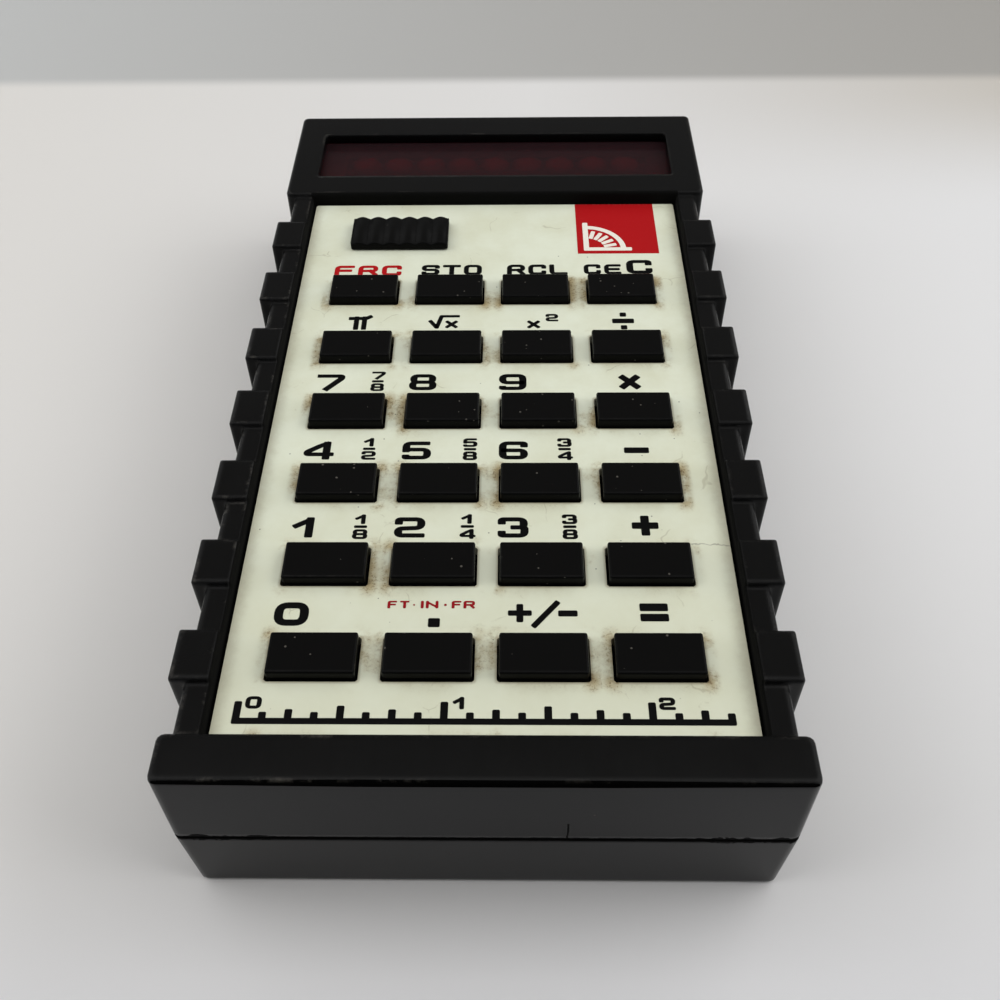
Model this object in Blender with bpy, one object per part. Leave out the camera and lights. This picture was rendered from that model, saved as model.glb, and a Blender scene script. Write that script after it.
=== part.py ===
"""Pocket calculator of the light-emitting-diode years, modelled as the pieces it comes apart into.

Frame: metres, +Z up, origin on the table under the middle of the case, front edge towards -Y.
Every size that can be set by itself is a named value below; the rest is worked out from them.
"""
import math

import bmesh
import bpy
from mathutils import Matrix, Vector

MM = 0.001

# ---------------------------------------------------------------- driving sizes
# Case
CASE_LENGTH = 147.8 * MM        # front face to rear face
CASE_WIDTH = 77.6 * MM          # across the display block and the front block
UPPER_HEIGHT = 13.9 * MM        # upper case, from its lower edge to the top of the blocks
LOWER_HEIGHT = 13.6 * MM        # lower case, outside
JOINT_GAP = 0.6 * MM            # shadow line between the two cases
DRAFT = 0.57 * MM               # lower case narrows by this much on every side
WALL = 2.0 * MM
FLOOR = 2.2 * MM
CORNER_RADIUS = 1.0 * MM        # upright corners of the case
EDGE_RADIUS = 0.5 * MM          # top edges of the blocks
BASE_RADIUS = 0.7 * MM          # bottom edges of the lower case
TONGUE_HEIGHT = 1.5 * MM        # lip of the lower case that stands inside the upper one
TONGUE = 0.8 * MM               # its thickness

# Top of the upper case
DISPLAY_BLOCK_DEPTH = 27.6 * MM
FRONT_BLOCK_DEPTH = 6.5 * MM
RAIL_INSET = 1.65 * MM          # rails stand this far in from the blocks' sides
RAIL_WIDTH = 3.45 * MM
RAIL_DROP = 0.72 * MM           # rails lie this far below the blocks' top
SKIRT_HEIGHT = 2.6 * MM         # plain band under the grip grooves
SKIRT_INSET = 0.15 * MM
RIB_COUNT = 7
RIB_LENGTH = 7.64 * MM
REAR_LAND = 8.7 * MM            # rail left clear between the last rib and the display block
RIB_REACH = 0.3 * MM            # ribs stand out past the blocks
RIB_EDGE = 0.35 * MM

# Key panel and keys
PANEL_DROP = 2.36 * MM          # panel face below the blocks' top
PANEL_THICKNESS = 1.5 * MM
PANEL_SIDE_GAP = 0.46 * MM
DECK = 1.6 * MM                 # web of the upper case under the panel
KEY_PITCH_X = 14.6 * MM
KEYS_FROM_FRONT = 12.0 * MM     # front row's middle, from the front block
KEY_WIDTH = 11.26 * MM
KEY_DEPTH = 6.2 * MM
KEY_STAND = 1.65 * MM           # key top above the panel
KEY_TRAVEL = 0.9 * MM
KEY_EDGE = 0.3 * MM
KEY_FLANGE = 1.0 * MM           # flange beyond the cap, all round
KEY_FLANGE_THICKNESS = 0.8 * MM
KEY_FOOT = 0.6 * MM             # height of the foot under the flange
KEY_FOOT_WIDTH = 3.0 * MM
KEY_NAMES = (
    ("key_0", "key_point", "key_sign", "key_equals"),
    ("key_1", "key_2", "key_3", "key_add"),
    ("key_4", "key_5", "key_6", "key_subtract"),
    ("key_7", "key_8", "key_9", "key_multiply"),
    ("key_pi", "key_root", "key_square", "key_divide"),
    ("key_fraction", "key_store", "key_recall", "key_clear"),
)

# Power switch
SWITCH_X = -16.8 * MM           # slider's middle at the left end of its travel
SWITCH_FROM_BLOCK = 10.5 * MM   # slider's middle, from the display block
SWITCH_WIDTH = 17.3 * MM
SWITCH_DEPTH = 8.1 * MM
SWITCH_HEIGHT = 1.8 * MM        # crest of the ribs above the panel
SWITCH_RIBS = 6
SWITCH_RIB_DEPTH = 0.75 * MM
SWITCH_TRAVEL = 4.4 * MM
SWITCH_STEM_X = 4.0 * MM
SWITCH_STEM_Y = 3.0 * MM
SWITCH_BODY_X = 19.0 * MM
SWITCH_BODY_Y = 7.2 * MM
SWITCH_BODY_SLOT = 1.5 * MM     # depth of the slot that takes the stem

# Display
WINDOW_OPENING_Y = 14.8 * MM
WINDOW_SIDE_MARGIN = 5.3 * MM   # opening's ends, from the block's sides
WINDOW_MARGIN = 6.0 * MM        # opening's front edge, from the block's front edge
WINDOW_LAP = 1.2 * MM           # window reaches past the opening under the roof
WINDOW_THICKNESS = 1.5 * MM
DISPLAY_ROOF = 1.6 * MM
DIGITS = 9
DIGIT_PITCH = 6.35 * MM
LENS_DEPTH = 6.4 * MM
LENS_BASE = 1.3 * MM
LENS_BULGE = 1.2 * MM
LENS_BEHIND_OPENING = 2.8 * MM  # lens bar's middle behind the opening's middle
DISPLAY_BOARD_SETBACK = 1.9 * MM
DISPLAY_BOARD_DEPTH = 20.8 * MM
DISPLAY_BOARD_THICKNESS = 1.2 * MM

# Circuit
BOARD_THICKNESS = 1.6 * MM
BOARD_SIDE_GAP = 0.65 * MM
BOARD_FROM_BLOCK = 4.7 * MM     # board's rear edge in front of the display block
DOME_SHEET = 0.25 * MM
DOME_HEIGHT = 0.4 * MM
DOME_RADIUS = 4.0 * MM
DOME_GAP = 0.1 * MM             # left between foot and dome when a key is fully down
LEG_PITCH = 2.54 * MM
LEG_WIDTH = 1.2 * MM
LEG_THICKNESS = 0.8 * MM
CHIP_END = 0.84 * MM            # package beyond its first and last legs' pitch
CHIP_HEIGHT = 3.6 * MM
CHIP_STANDOFF = 0.9 * MM
CHIP_WIDTH = 13.6 * MM
CHIP_LEG_COUNT = 14
CHIP_X = 4.0 * MM
CHIP_BEFORE_MIDDLE = 3.0 * MM   # its middle, from the board's
DRIVER_WIDTH = 6.4 * MM
DRIVER_LEG_COUNT = 7
DRIVER_FROM_REAR = 23.6 * MM
CAPACITOR_RADIUS = 3.4 * MM
CAPACITOR_LENGTH = 11.0 * MM
CAPACITOR_RIM = 1.2 * MM        # rolled groove, from the end
CAPACITOR_X = 20.0 * MM
CAPACITOR_FROM_FRONT = 22.0 * MM
RIBBON_THICKNESS = 0.25 * MM
RIBBON_WIDTH = 18.0 * MM
RIBBON_BEND_BEFORE = 4.6 * MM   # where it starts to rise, ahead of the board's rear edge
RIBBON_LAP = 3.0 * MM           # flat stretch on the main board
RIBBON_FAR_LAP = 6.0 * MM       # flat stretch on the display board
RIBBON_TO_LEADS = 1.0 * MM
LEAD_DIAMETER = 1.3 * MM
LEAD_SPACING = 2.7 * MM
LEAD_START = 4.0 * MM           # behind the display board's front edge
LEAD_BEND = 2.0 * MM
LEAD_LAP = 5.0 * MM             # soldered end on the main board

# Battery, a 9 V block
BATTERY_LENGTH = 46.1 * MM
BATTERY_WIDTH = 26.2 * MM
BATTERY_HEIGHT = 17.3 * MM
TERMINAL_RADIUS = 2.9 * MM
TERMINAL_HEIGHT = 2.4 * MM
TERMINAL_SPACING = 12.7 * MM
SNAP_THICKNESS = 5.6 * MM
SNAP_WIDTH = 24.0 * MM
SNAP_HEIGHT = 12.0 * MM
BAY_SLACK = 5.3 * MM            # room beside the snap connector for its leads
BAY_STEP = 0.15 * MM            # bay's rear face in front of the wall's

# Battery door
DOOR_TONGUE = 1.5 * MM          # runner along each side
DOOR_TONGUE_LOW = 1.0 * MM
DOOR_TONGUE_DRAFT = 0.1 * MM    # runner thins towards its edge
DOOR_THICKNESS = 2.0 * MM
DOOR_RECESS = 0.15 * MM         # door's face stands in from the base
DOOR_TRAVEL = 28.0 * MM
DOOR_GRIPS = 6
DOOR_GRIP_PITCH = 1.6 * MM
DOOR_GRIP_WIDTH = 0.7 * MM
DOOR_GRIP_LENGTH = 18.0 * MM
DOOR_GRIP_DEPTH = 0.5 * MM
BAY_WALL = 1.5 * MM

# Case screws
SCREW_FROM_SIDE = 7.3 * MM
SCREW_FROM_FRONT = 8.4 * MM
SCREW_FROM_BLOCK = 8.7 * MM     # rear pair, in front of the display block
SCREW_RADIUS = 1.25 * MM
SCREW_HEAD_RADIUS = 2.5 * MM
SCREW_HEAD = 1.8 * MM
SCREW_SINK = 3.6 * MM           # head's face above the base
SCREW_LENGTH = 15.0 * MM
POST_RADIUS = 2.8 * MM
PILLAR_WALL = 0.9 * MM

# Fits
CLEAR = 0.3 * MM                # between pieces that touch
KEY_CLEAR = 0.28 * MM           # round each key in the panel
DECK_CLEAR = 0.38 * MM          # round each key in the deck

# ---------------------------------------------------------------- places worked out
HALF_LENGTH = CASE_LENGTH / 2
HALF_WIDTH = CASE_WIDTH / 2
JOINT_Z = LOWER_HEIGHT + JOINT_GAP
TOP_Z = JOINT_Z + UPPER_HEIGHT
RAIL_Z = TOP_Z - RAIL_DROP
PANEL_Z = TOP_Z - PANEL_DROP
PANEL_UNDER = PANEL_Z - PANEL_THICKNESS
DECK_Z = PANEL_UNDER - CLEAR
DECK_UNDER = DECK_Z - DECK
FLANGE_TOP = DECK_UNDER - CLEAR
FLANGE_UNDER = FLANGE_TOP - KEY_FLANGE_THICKNESS
FOOT_Z = FLANGE_UNDER - KEY_FOOT
DOME_TOP = FOOT_Z - KEY_TRAVEL - DOME_GAP
SHEET_TOP = DOME_TOP - DOME_HEIGHT
SHEET_UNDER = SHEET_TOP - DOME_SHEET
BOARD_TOP = SHEET_UNDER - CLEAR
BOARD_UNDER = BOARD_TOP - BOARD_THICKNESS

BLOCK_FRONT = HALF_LENGTH - DISPLAY_BLOCK_DEPTH
FRONT_BLOCK_REAR = FRONT_BLOCK_DEPTH - HALF_LENGTH
RAIL_OUTER = HALF_WIDTH - RAIL_INSET
RAIL_INNER = RAIL_OUTER - RAIL_WIDTH
INNER_X = RAIL_OUTER - WALL
INNER_Y = HALF_LENGTH - WALL
KEY_COLUMNS = len(KEY_NAMES[0])
RIB_PITCH = (BLOCK_FRONT - FRONT_BLOCK_REAR - REAR_LAND) / RIB_COUNT
KEY_PITCH_Y = RIB_PITCH         # each row of keys lies level with a rib
SCREW_X = HALF_WIDTH - SCREW_FROM_SIDE
SCREW_FRONT_Y = SCREW_FROM_FRONT - HALF_LENGTH
SCREW_REAR_Y = BLOCK_FRONT - SCREW_FROM_BLOCK
BOARD_FRONT = CLEAR - INNER_Y
BOARD_REAR = BLOCK_FRONT - BOARD_FROM_BLOCK
BOARD_MIDDLE = (BOARD_FRONT + BOARD_REAR) / 2

WINDOW_FRONT = BLOCK_FRONT + WINDOW_MARGIN
WINDOW_OPENING_X = CASE_WIDTH - 2 * WINDOW_SIDE_MARGIN
WINDOW_Y = WINDOW_FRONT + WINDOW_OPENING_Y / 2
WINDOW_TOP = TOP_Z - DISPLAY_ROOF - CLEAR
WINDOW_UNDER = WINDOW_TOP - WINDOW_THICKNESS
LENS_Y = WINDOW_Y + LENS_BEHIND_OPENING
LENS_TOP = WINDOW_UNDER - CLEAR
LENS_UNDER = LENS_TOP - LENS_BULGE - LENS_BASE
DISPLAY_BOARD_TOP = LENS_UNDER - CLEAR
DISPLAY_BOARD_UNDER = DISPLAY_BOARD_TOP - DISPLAY_BOARD_THICKNESS
BLOCK_INNER_FRONT = BLOCK_FRONT + WALL
DISPLAY_BOARD_FRONT = BLOCK_INNER_FRONT + DISPLAY_BOARD_SETBACK

SWITCH_Y = BLOCK_FRONT - SWITCH_FROM_BLOCK
SWITCH_MIDDLE = SWITCH_X + SWITCH_TRAVEL / 2

DOOR_WAY = (BATTERY_LENGTH + SNAP_THICKNESS + BAY_SLACK) / 2 + CLEAR
DOOR_HALF_WIDTH = DOOR_WAY - CLEAR
BAY_REAR = INNER_Y - DRAFT - BAY_STEP
BATTERY_REAR = BAY_REAR - CLEAR
BATTERY_Y = BATTERY_REAR - BATTERY_WIDTH / 2
BAY_FRONT = BATTERY_REAR - BATTERY_WIDTH - CLEAR
DOOR_FRONT = BAY_FRONT + CLEAR / 2
BATTERY_UNDER = DOOR_THICKNESS + CLEAR
BATTERY_TOP = BATTERY_UNDER + BATTERY_HEIGHT
BATTERY_Z = BATTERY_UNDER + BATTERY_HEIGHT / 2
BATTERY_LEFT = -DOOR_WAY + CLEAR
BATTERY_RIGHT = BATTERY_LEFT + BATTERY_LENGTH
LEADS_X = BATTERY_RIGHT + CLEAR + SNAP_THICKNESS / 2

# ---------------------------------------------------------------- materials
COLOURS = {
    "case_black": ((0.012, 0.012, 0.013), 0.42, 0.0),
    "key_black": ((0.010, 0.010, 0.011), 0.36, 0.0),
    "panel_ivory": ((0.74, 0.76, 0.60), 0.40, 0.0),
    "window_red": ((0.055, 0.004, 0.006), 0.12, 0.0),
    "lens_clear": ((0.50, 0.10, 0.09), 0.10, 0.0),
    "board_phenolic": ((0.33, 0.17, 0.06), 0.55, 0.0),
    "sheet_polyester": ((0.55, 0.55, 0.50), 0.35, 0.0),
    "chip_epoxy": ((0.02, 0.02, 0.02), 0.45, 0.0),
    "steel": ((0.55, 0.55, 0.53), 0.32, 1.0),
    "battery_jacket": ((0.05, 0.06, 0.09), 0.30, 0.0),
    "snap_vinyl": ((0.02, 0.02, 0.02), 0.50, 0.0),
    "lead_red": ((0.45, 0.02, 0.02), 0.40, 0.0),
    "lead_black": ((0.015, 0.015, 0.015), 0.40, 0.0),
    "capacitor_sleeve": ((0.03, 0.08, 0.22), 0.35, 0.0),
    "ribbon_grey": ((0.35, 0.35, 0.36), 0.50, 0.0),
}


def make_materials():
    """One Principled material for each finish, from COLOURS."""
    made = {}
    for name, (colour, roughness, metallic) in COLOURS.items():
        material = bpy.data.materials.new(name)
        material.use_nodes = True
        shader = material.node_tree.nodes["Principled BSDF"]
        shader.inputs["Base Color"].default_value = (*colour, 1.0)
        shader.inputs["Roughness"].default_value = roughness
        shader.inputs["Metallic"].default_value = metallic
        made[name] = material
    return made


# ---------------------------------------------------------------- mesh helpers
def new_mesh(bm, name="shape"):
    mesh = bpy.data.meshes.new(name)
    bm.to_mesh(mesh)
    bm.free()
    return mesh


def bevel_edges(bm, edges, radius, segments):
    if radius > 0 and edges:
        bmesh.ops.bevel(bm, geom=edges, offset=radius, offset_type="OFFSET", segments=segments,
                        profile=0.5, affect="EDGES", clamp_overlap=True)


def edges_at(bm, height):
    """Edges that lie flat at one height."""
    return [e for e in bm.edges if all(abs(v.co.z - height) < 1e-6 for v in e.verts)]


def upright_edges(bm):
    """Edges that run mostly along Z."""
    found = []
    for edge in bm.edges:
        run = edge.verts[1].co - edge.verts[0].co
        if abs(run.z) > 0.9 * run.length:
            found.append(edge)
    return found


def box(low, high, upright=0.0, top=0.0, bottom=0.0, draft=0.0, segments=2):
    """Box between two corners. Its upright, top and bottom edges can be rounded, and its sides
    can lean in towards the bottom by draft."""
    low, high = Vector(low), Vector(high)
    bm = bmesh.new()
    place = Matrix.Translation((low + high) / 2) @ Matrix.Diagonal((*(high - low), 1.0))
    bmesh.ops.create_cube(bm, size=1.0, matrix=place)
    if draft:
        for vert in bm.verts:
            if vert.co.z < (low.z + high.z) / 2:
                vert.co.x -= math.copysign(draft, vert.co.x - (low.x + high.x) / 2)
                vert.co.y -= math.copysign(draft, vert.co.y - (low.y + high.y) / 2)
    bevel_edges(bm, upright_edges(bm), upright, segments)
    bevel_edges(bm, edges_at(bm, high.z), top, segments)
    bevel_edges(bm, edges_at(bm, low.z), bottom, segments)
    return new_mesh(bm)


def rod(centre, radius, low, high, sides=16, top_radius=None):
    """Upright round bar, or a cone where top_radius is given."""
    bm = bmesh.new()
    place = Matrix.Translation((centre[0], centre[1], (low + high) / 2))
    bmesh.ops.create_cone(bm, cap_ends=True, segments=sides, radius1=radius,
                          radius2=radius if top_radius is None else top_radius,
                          depth=high - low, matrix=place)
    return new_mesh(bm)


def turned(mesh, matrix):
    mesh.transform(matrix)
    return mesh


def gathered(meshes):
    """Several separate shapes in one mesh."""
    bm = bmesh.new()
    for mesh in meshes:
        bm.from_mesh(mesh)
        bpy.data.meshes.remove(mesh)
    return new_mesh(bm)


def flat_outline(points, depth):
    """Closed outline in its own XY plane, thickened by depth about that plane."""
    curve = bpy.data.curves.new("outline", "CURVE")
    curve.dimensions = "2D"
    curve.fill_mode = "BOTH"
    curve.extrude = depth / 2
    spline = curve.splines.new("POLY")
    spline.points.add(len(points) - 1)
    for point, (x, y) in zip(spline.points, points):
        point.co = (x, y, 0.0, 1.0)
    spline.use_cyclic_u = True
    return mesh_of(bpy.data.objects.new("outline", curve))


def tube(points, diameter):
    """Round wire along a list of points."""
    curve = bpy.data.curves.new("wire", "CURVE")
    curve.dimensions = "3D"
    curve.bevel_depth = diameter / 2
    curve.bevel_resolution = 2
    curve.use_fill_caps = True
    spline = curve.splines.new("POLY")
    spline.points.add(len(points) - 1)
    for point, place in zip(spline.points, points):
        point.co = (*place, 1.0)
    return mesh_of(bpy.data.objects.new("wire", curve))


def mesh_of(source):
    """Mesh of a curve object, its caps welded; the curve is removed."""
    bpy.context.scene.collection.objects.link(source)
    graph = bpy.context.evaluated_depsgraph_get()
    mesh = bpy.data.meshes.new_from_object(source.evaluated_get(graph))
    bpy.data.objects.remove(source)
    bm = bmesh.new()
    bm.from_mesh(mesh)
    bpy.data.meshes.remove(mesh)
    bmesh.ops.remove_doubles(bm, verts=bm.verts, dist=1e-6)
    bmesh.ops.recalc_face_normals(bm, faces=bm.faces)
    return new_mesh(bm)


class Bench:
    """Holds the two collections, and puts pieces and cutting tools in them."""

    def __init__(self):
        for thing in list(bpy.data.objects):
            bpy.data.objects.remove(thing, do_unlink=True)
        self.parts = bpy.data.collections.new("pocket_calculator")
        self.tools = bpy.data.collections.new("cutters")
        for group in (self.parts, self.tools):
            bpy.context.scene.collection.children.link(group)
        self.materials = make_materials()

    def piece(self, name, mesh, material, origin=(0.0, 0.0, 0.0), smooth=True):
        """A named sub-part. Its mesh is given in place; origin becomes its pivot."""
        if origin != (0.0, 0.0, 0.0):
            mesh.transform(Matrix.Translation(-Vector(origin)))
        if not mesh.materials:
            mesh.materials.append(self.materials[material])
        if smooth:
            mesh.shade_smooth()
            mesh.set_sharp_from_angle(angle=math.radians(35))
        thing = bpy.data.objects.new(name, mesh)
        thing.location = origin
        self.parts.objects.link(thing)
        return thing

    def shape(self, target, operation, mesh, label):
        """Adds a mesh to a piece (UNION) or cuts it away (DIFFERENCE)."""
        tool = bpy.data.objects.new(f"{target.name}_{label}", mesh)
        tool.location = target.location
        mesh.transform(Matrix.Translation(-target.location))
        tool.hide_render = True
        tool.display_type = "WIRE"
        self.tools.objects.link(tool)
        modifier = target.modifiers.new(label, "BOOLEAN")
        modifier.operation = operation
        modifier.solver = "EXACT"
        modifier.object = tool

    def add(self, target, mesh, label):
        self.shape(target, "UNION", mesh, label)

    def cut(self, target, mesh, label):
        self.shape(target, "DIFFERENCE", mesh, label)


# ---------------------------------------------------------------- shared layouts
def key_places():
    """Name and middle of every key, front row first."""
    for row, names in enumerate(KEY_NAMES):
        y = FRONT_BLOCK_REAR + KEYS_FROM_FRONT + row * KEY_PITCH_Y
        for column, name in enumerate(names):
            yield name, (column - (KEY_COLUMNS - 1) / 2) * KEY_PITCH_X, y


def key_holes(clearance, low, high):
    """Tools for the key openings, with softened corners."""
    half_x = KEY_WIDTH / 2 + clearance
    half_y = KEY_DEPTH / 2 + clearance
    return [box((x - half_x, y - half_y, low), (x + half_x, y + half_y, high), upright=KEY_EDGE, segments=1)
            for _, x, y in key_places()]


def switch_slot(clearance, low, high):
    """Tool for the slot that the slider's stem travels in."""
    half_x = SWITCH_STEM_X / 2 + clearance
    half_y = SWITCH_STEM_Y / 2 + clearance
    return box((SWITCH_X - half_x, SWITCH_Y - half_y, low),
               (SWITCH_X + SWITCH_TRAVEL + half_x, SWITCH_Y + half_y, high))


def screw_places():
    return [(side * SCREW_X, y) for y in (SCREW_FRONT_Y, SCREW_REAR_Y) for side in (-1, 1)]


def door_profile(half_width, runner, runner_low, top, bottom):
    """Outline of the battery door across its slide: a plate with a runner along each side."""
    edge = half_width + runner
    edge_low = runner_low + DOOR_TONGUE_DRAFT
    return [(-half_width, bottom), (half_width, bottom), (half_width, runner_low), (edge, edge_low),
            (edge, top), (-edge, top), (-edge, edge_low), (-half_width, runner_low)]


def along_y(mesh, start, end):
    """Stands a flat outline up so that its thickness runs along Y from start to end."""
    return turned(mesh, Matrix.Translation((0, (start + end) / 2, 0)) @ Matrix.Rotation(math.pi / 2, 4, "X"))


# ---------------------------------------------------------------- upper case
def grip_ribs():
    """Seven ribs down each side, which stand out past the rails and above them."""
    low_y = FRONT_BLOCK_REAR + RIB_PITCH - RIB_LENGTH
    inner = RAIL_INNER + SKIRT_INSET
    outer = HALF_WIDTH + RIB_REACH
    ribs = []
    for index in range(RIB_COUNT):
        y = low_y + index * RIB_PITCH
        for x0, x1 in ((-outer, -inner), (inner, outer)):
            ribs.append(box((x0, y, LOWER_HEIGHT + CLEAR), (x1, y + RIB_LENGTH, TOP_Z),
                            upright=RIB_EDGE, top=RIB_EDGE))
    return ribs


def build_upper_case(bench):
    below = LOWER_HEIGHT
    display_block = box((-HALF_WIDTH, BLOCK_FRONT, below), (HALF_WIDTH, HALF_LENGTH, TOP_Z),
                        upright=CORNER_RADIUS, top=EDGE_RADIUS, segments=3)
    case = bench.piece("upper_case", display_block, "case_black")
    bench.add(case, box((-HALF_WIDTH, -HALF_LENGTH, below), (HALF_WIDTH, FRONT_BLOCK_REAR, TOP_Z),
                        upright=CORNER_RADIUS, top=EDGE_RADIUS, segments=3), "front_block")
    reach = HALF_LENGTH - CORNER_RADIUS
    rails = [box((x0, -reach, below), (x1, reach, RAIL_Z), top=RIB_EDGE)
             for x0, x1 in ((-RAIL_OUTER, -RAIL_INNER), (RAIL_INNER, RAIL_OUTER))]
    bench.add(case, gathered(rails), "rails")
    skirt = HALF_WIDTH - SKIRT_INSET
    bench.add(case, box((-skirt, -reach, below), (skirt, reach, JOINT_Z + SKIRT_HEIGHT),
                        top=RIB_EDGE, segments=1), "skirt")
    bench.add(case, gathered(grip_ribs()), "ribs")
    bench.add(case, box((-RAIL_INNER - WALL / 2, FRONT_BLOCK_REAR - WALL / 2, DECK_UNDER - WALL / 2),
                        (RAIL_INNER + WALL / 2, BLOCK_FRONT + WALL / 2, DECK_Z)), "deck")

    # Hollow below the deck, and the taller one in the display block
    bench.cut(case, box((-INNER_X, -INNER_Y, 0), (INNER_X, INNER_Y, DECK_UNDER)), "hollow")
    bench.cut(case, box((WALL - HALF_WIDTH, BLOCK_INNER_FRONT, JOINT_Z / 2),
                        (HALF_WIDTH - WALL, INNER_Y - SKIRT_INSET / 2, TOP_Z - DISPLAY_ROOF)), "display_hollow")
    lip_x, lip_y = HALF_WIDTH - WALL + TONGUE + CLEAR, HALF_LENGTH - WALL + TONGUE + CLEAR
    bench.cut(case, box((-lip_x, -lip_y, JOINT_Z / 2),
                        (lip_x, lip_y, LOWER_HEIGHT + TONGUE_HEIGHT + CLEAR)), "lip_rebate")
    bench.cut(case, box((-CASE_WIDTH, -CASE_LENGTH, -JOINT_Z),
                        (CASE_WIDTH, CASE_LENGTH, JOINT_Z)), "lower_edge")

    # Posts for the case screws, and ledges that hold the display board down
    posts = [rod((x, y), POST_RADIUS, LOWER_HEIGHT + CLEAR, DECK_UNDER + DECK / 2) for x, y in screw_places()]
    ledge = WINDOW_OPENING_X / 2 + WINDOW_LAP + 2 * CLEAR
    for y in (WINDOW_FRONT, WINDOW_FRONT + WINDOW_OPENING_Y):
        for side in (-1, 1):
            x0, x1 = sorted((side * ledge, side * (HALF_WIDTH - WALL / 2)))
            posts.append(box((x0, y - WALL, DISPLAY_BOARD_TOP + CLEAR),
                             (x1, y + WALL, TOP_Z - DISPLAY_ROOF / 2)))
    bench.add(case, gathered(posts), "posts")
    pilot = SCREW_RADIUS + CLEAR
    bench.cut(case, gathered([rod((x, y), pilot, LOWER_HEIGHT, FLANGE_TOP, sides=12)
                              for x, y in screw_places()]), "pilot_holes")

    # Openings in the top
    window = box((-WINDOW_OPENING_X / 2, WINDOW_FRONT, DECK_Z),
                 (WINDOW_OPENING_X / 2, WINDOW_FRONT + WINDOW_OPENING_Y, TOP_Z + WALL), upright=EDGE_RADIUS)
    bench.cut(case, window, "window_opening")
    holes = key_holes(DECK_CLEAR, DECK_UNDER - DECK, DECK_Z + DECK)
    holes.append(switch_slot(CLEAR, DECK_UNDER - DECK, DECK_Z + DECK))
    bench.cut(case, gathered(holes), "deck_openings")


# ---------------------------------------------------------------- lower case
def build_lower_case(bench):
    shell = box((-HALF_WIDTH, -HALF_LENGTH, 0), (HALF_WIDTH, HALF_LENGTH, LOWER_HEIGHT),
                upright=CORNER_RADIUS, bottom=BASE_RADIUS, draft=DRAFT, segments=3)
    case = bench.piece("lower_case", shell, "case_black")
    inner_x, inner_y = HALF_WIDTH - WALL, HALF_LENGTH - WALL
    bench.add(case, box((-inner_x - TONGUE, -inner_y - TONGUE, LOWER_HEIGHT / 2),
                        (inner_x + TONGUE, inner_y + TONGUE, LOWER_HEIGHT + TONGUE_HEIGHT)), "tongue")
    bench.cut(case, box((-inner_x, -inner_y, FLOOR), (inner_x, inner_y, TOP_Z), draft=DRAFT), "hollow")

    # Battery bay walls, screw pillars and rests for the main board
    bay_top = LOWER_HEIGHT - CLEAR
    side_in, side_out = DOOR_WAY - WALL / 2, DOOR_WAY + DOOR_TONGUE + BAY_WALL
    rear = inner_y + WALL / 4
    bench.add(case, box((-side_out, BAY_FRONT - BAY_WALL, FLOOR / 2),
                        (side_out, BAY_FRONT + WALL / 2, bay_top)), "bay_front")
    bench.add(case, gathered([
        box((side_in, BAY_FRONT, FLOOR / 2), (side_out, rear, bay_top - CLEAR)),
        box((-side_out, BAY_FRONT, FLOOR / 2), (-side_in, rear, bay_top - CLEAR)),
    ]), "bay_sides")
    pillar = SCREW_HEAD_RADIUS + CLEAR + PILLAR_WALL
    supports = [rod((x, y), pillar, FLOOR / 2, LOWER_HEIGHT) for x, y in screw_places()]
    rest_out = INNER_X - CLEAR
    for y in (SCREW_FRONT_Y / 2, 0.0, SCREW_REAR_Y / 2):
        for side in (-1, 1):
            x0, x1 = sorted((side * rest_out, side * (rest_out - WALL)))
            supports.append(box((x0, y - WALL, FLOOR / 2), (x1, y + WALL, BOARD_UNDER - CLEAR)))
    bench.add(case, gathered(supports), "pillars")

    # Screw holes, wide below for the heads
    seat = SCREW_SINK + SCREW_HEAD + CLEAR
    holes = [rod((x, y), SCREW_HEAD_RADIUS + CLEAR, -FLOOR, seat) for x, y in screw_places()]
    bench.cut(case, gathered(holes), "head_sinks")
    holes = [rod((x, y), SCREW_RADIUS + CLEAR, seat / 2, LOWER_HEIGHT + FLOOR, sides=12)
             for x, y in screw_places()]
    bench.cut(case, gathered(holes), "screw_holes")

    # Way for the door and its runners, open at the rear, and the bay above it
    profile = door_profile(DOOR_WAY, DOOR_TONGUE, DOOR_TONGUE_LOW - CLEAR, DOOR_THICKNESS + CLEAR, -FLOOR)
    way = along_y(flat_outline(profile, CASE_LENGTH), DOOR_FRONT - CLEAR, DOOR_FRONT - CLEAR + CASE_LENGTH)
    bench.cut(case, way, "door_way")
    bench.cut(case, box((-DOOR_WAY, BAY_FRONT, DOOR_THICKNESS), (DOOR_WAY, BAY_REAR, TOP_Z)), "bay")


def build_battery_door(bench):
    profile = door_profile(DOOR_HALF_WIDTH, DOOR_TONGUE, DOOR_TONGUE_LOW, DOOR_THICKNESS, DOOR_RECESS)
    rear = HALF_LENGTH - DRAFT - DOOR_RECESS
    depth = rear - DOOR_FRONT
    mesh = along_y(flat_outline(profile, depth), DOOR_FRONT, rear)
    door = bench.piece("battery_door", mesh, "case_black", origin=(0.0, (DOOR_FRONT + rear) / 2, DOOR_RECESS))
    first = DOOR_FRONT + depth / 4
    grips = []
    for index in range(DOOR_GRIPS):
        y = first + index * DOOR_GRIP_PITCH
        grips.append(box((-DOOR_GRIP_LENGTH / 2, y, -DOOR_THICKNESS),
                         (DOOR_GRIP_LENGTH / 2, y + DOOR_GRIP_WIDTH, DOOR_RECESS + DOOR_GRIP_DEPTH)))
    bench.cut(door, gathered(grips), "finger_grips")


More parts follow.
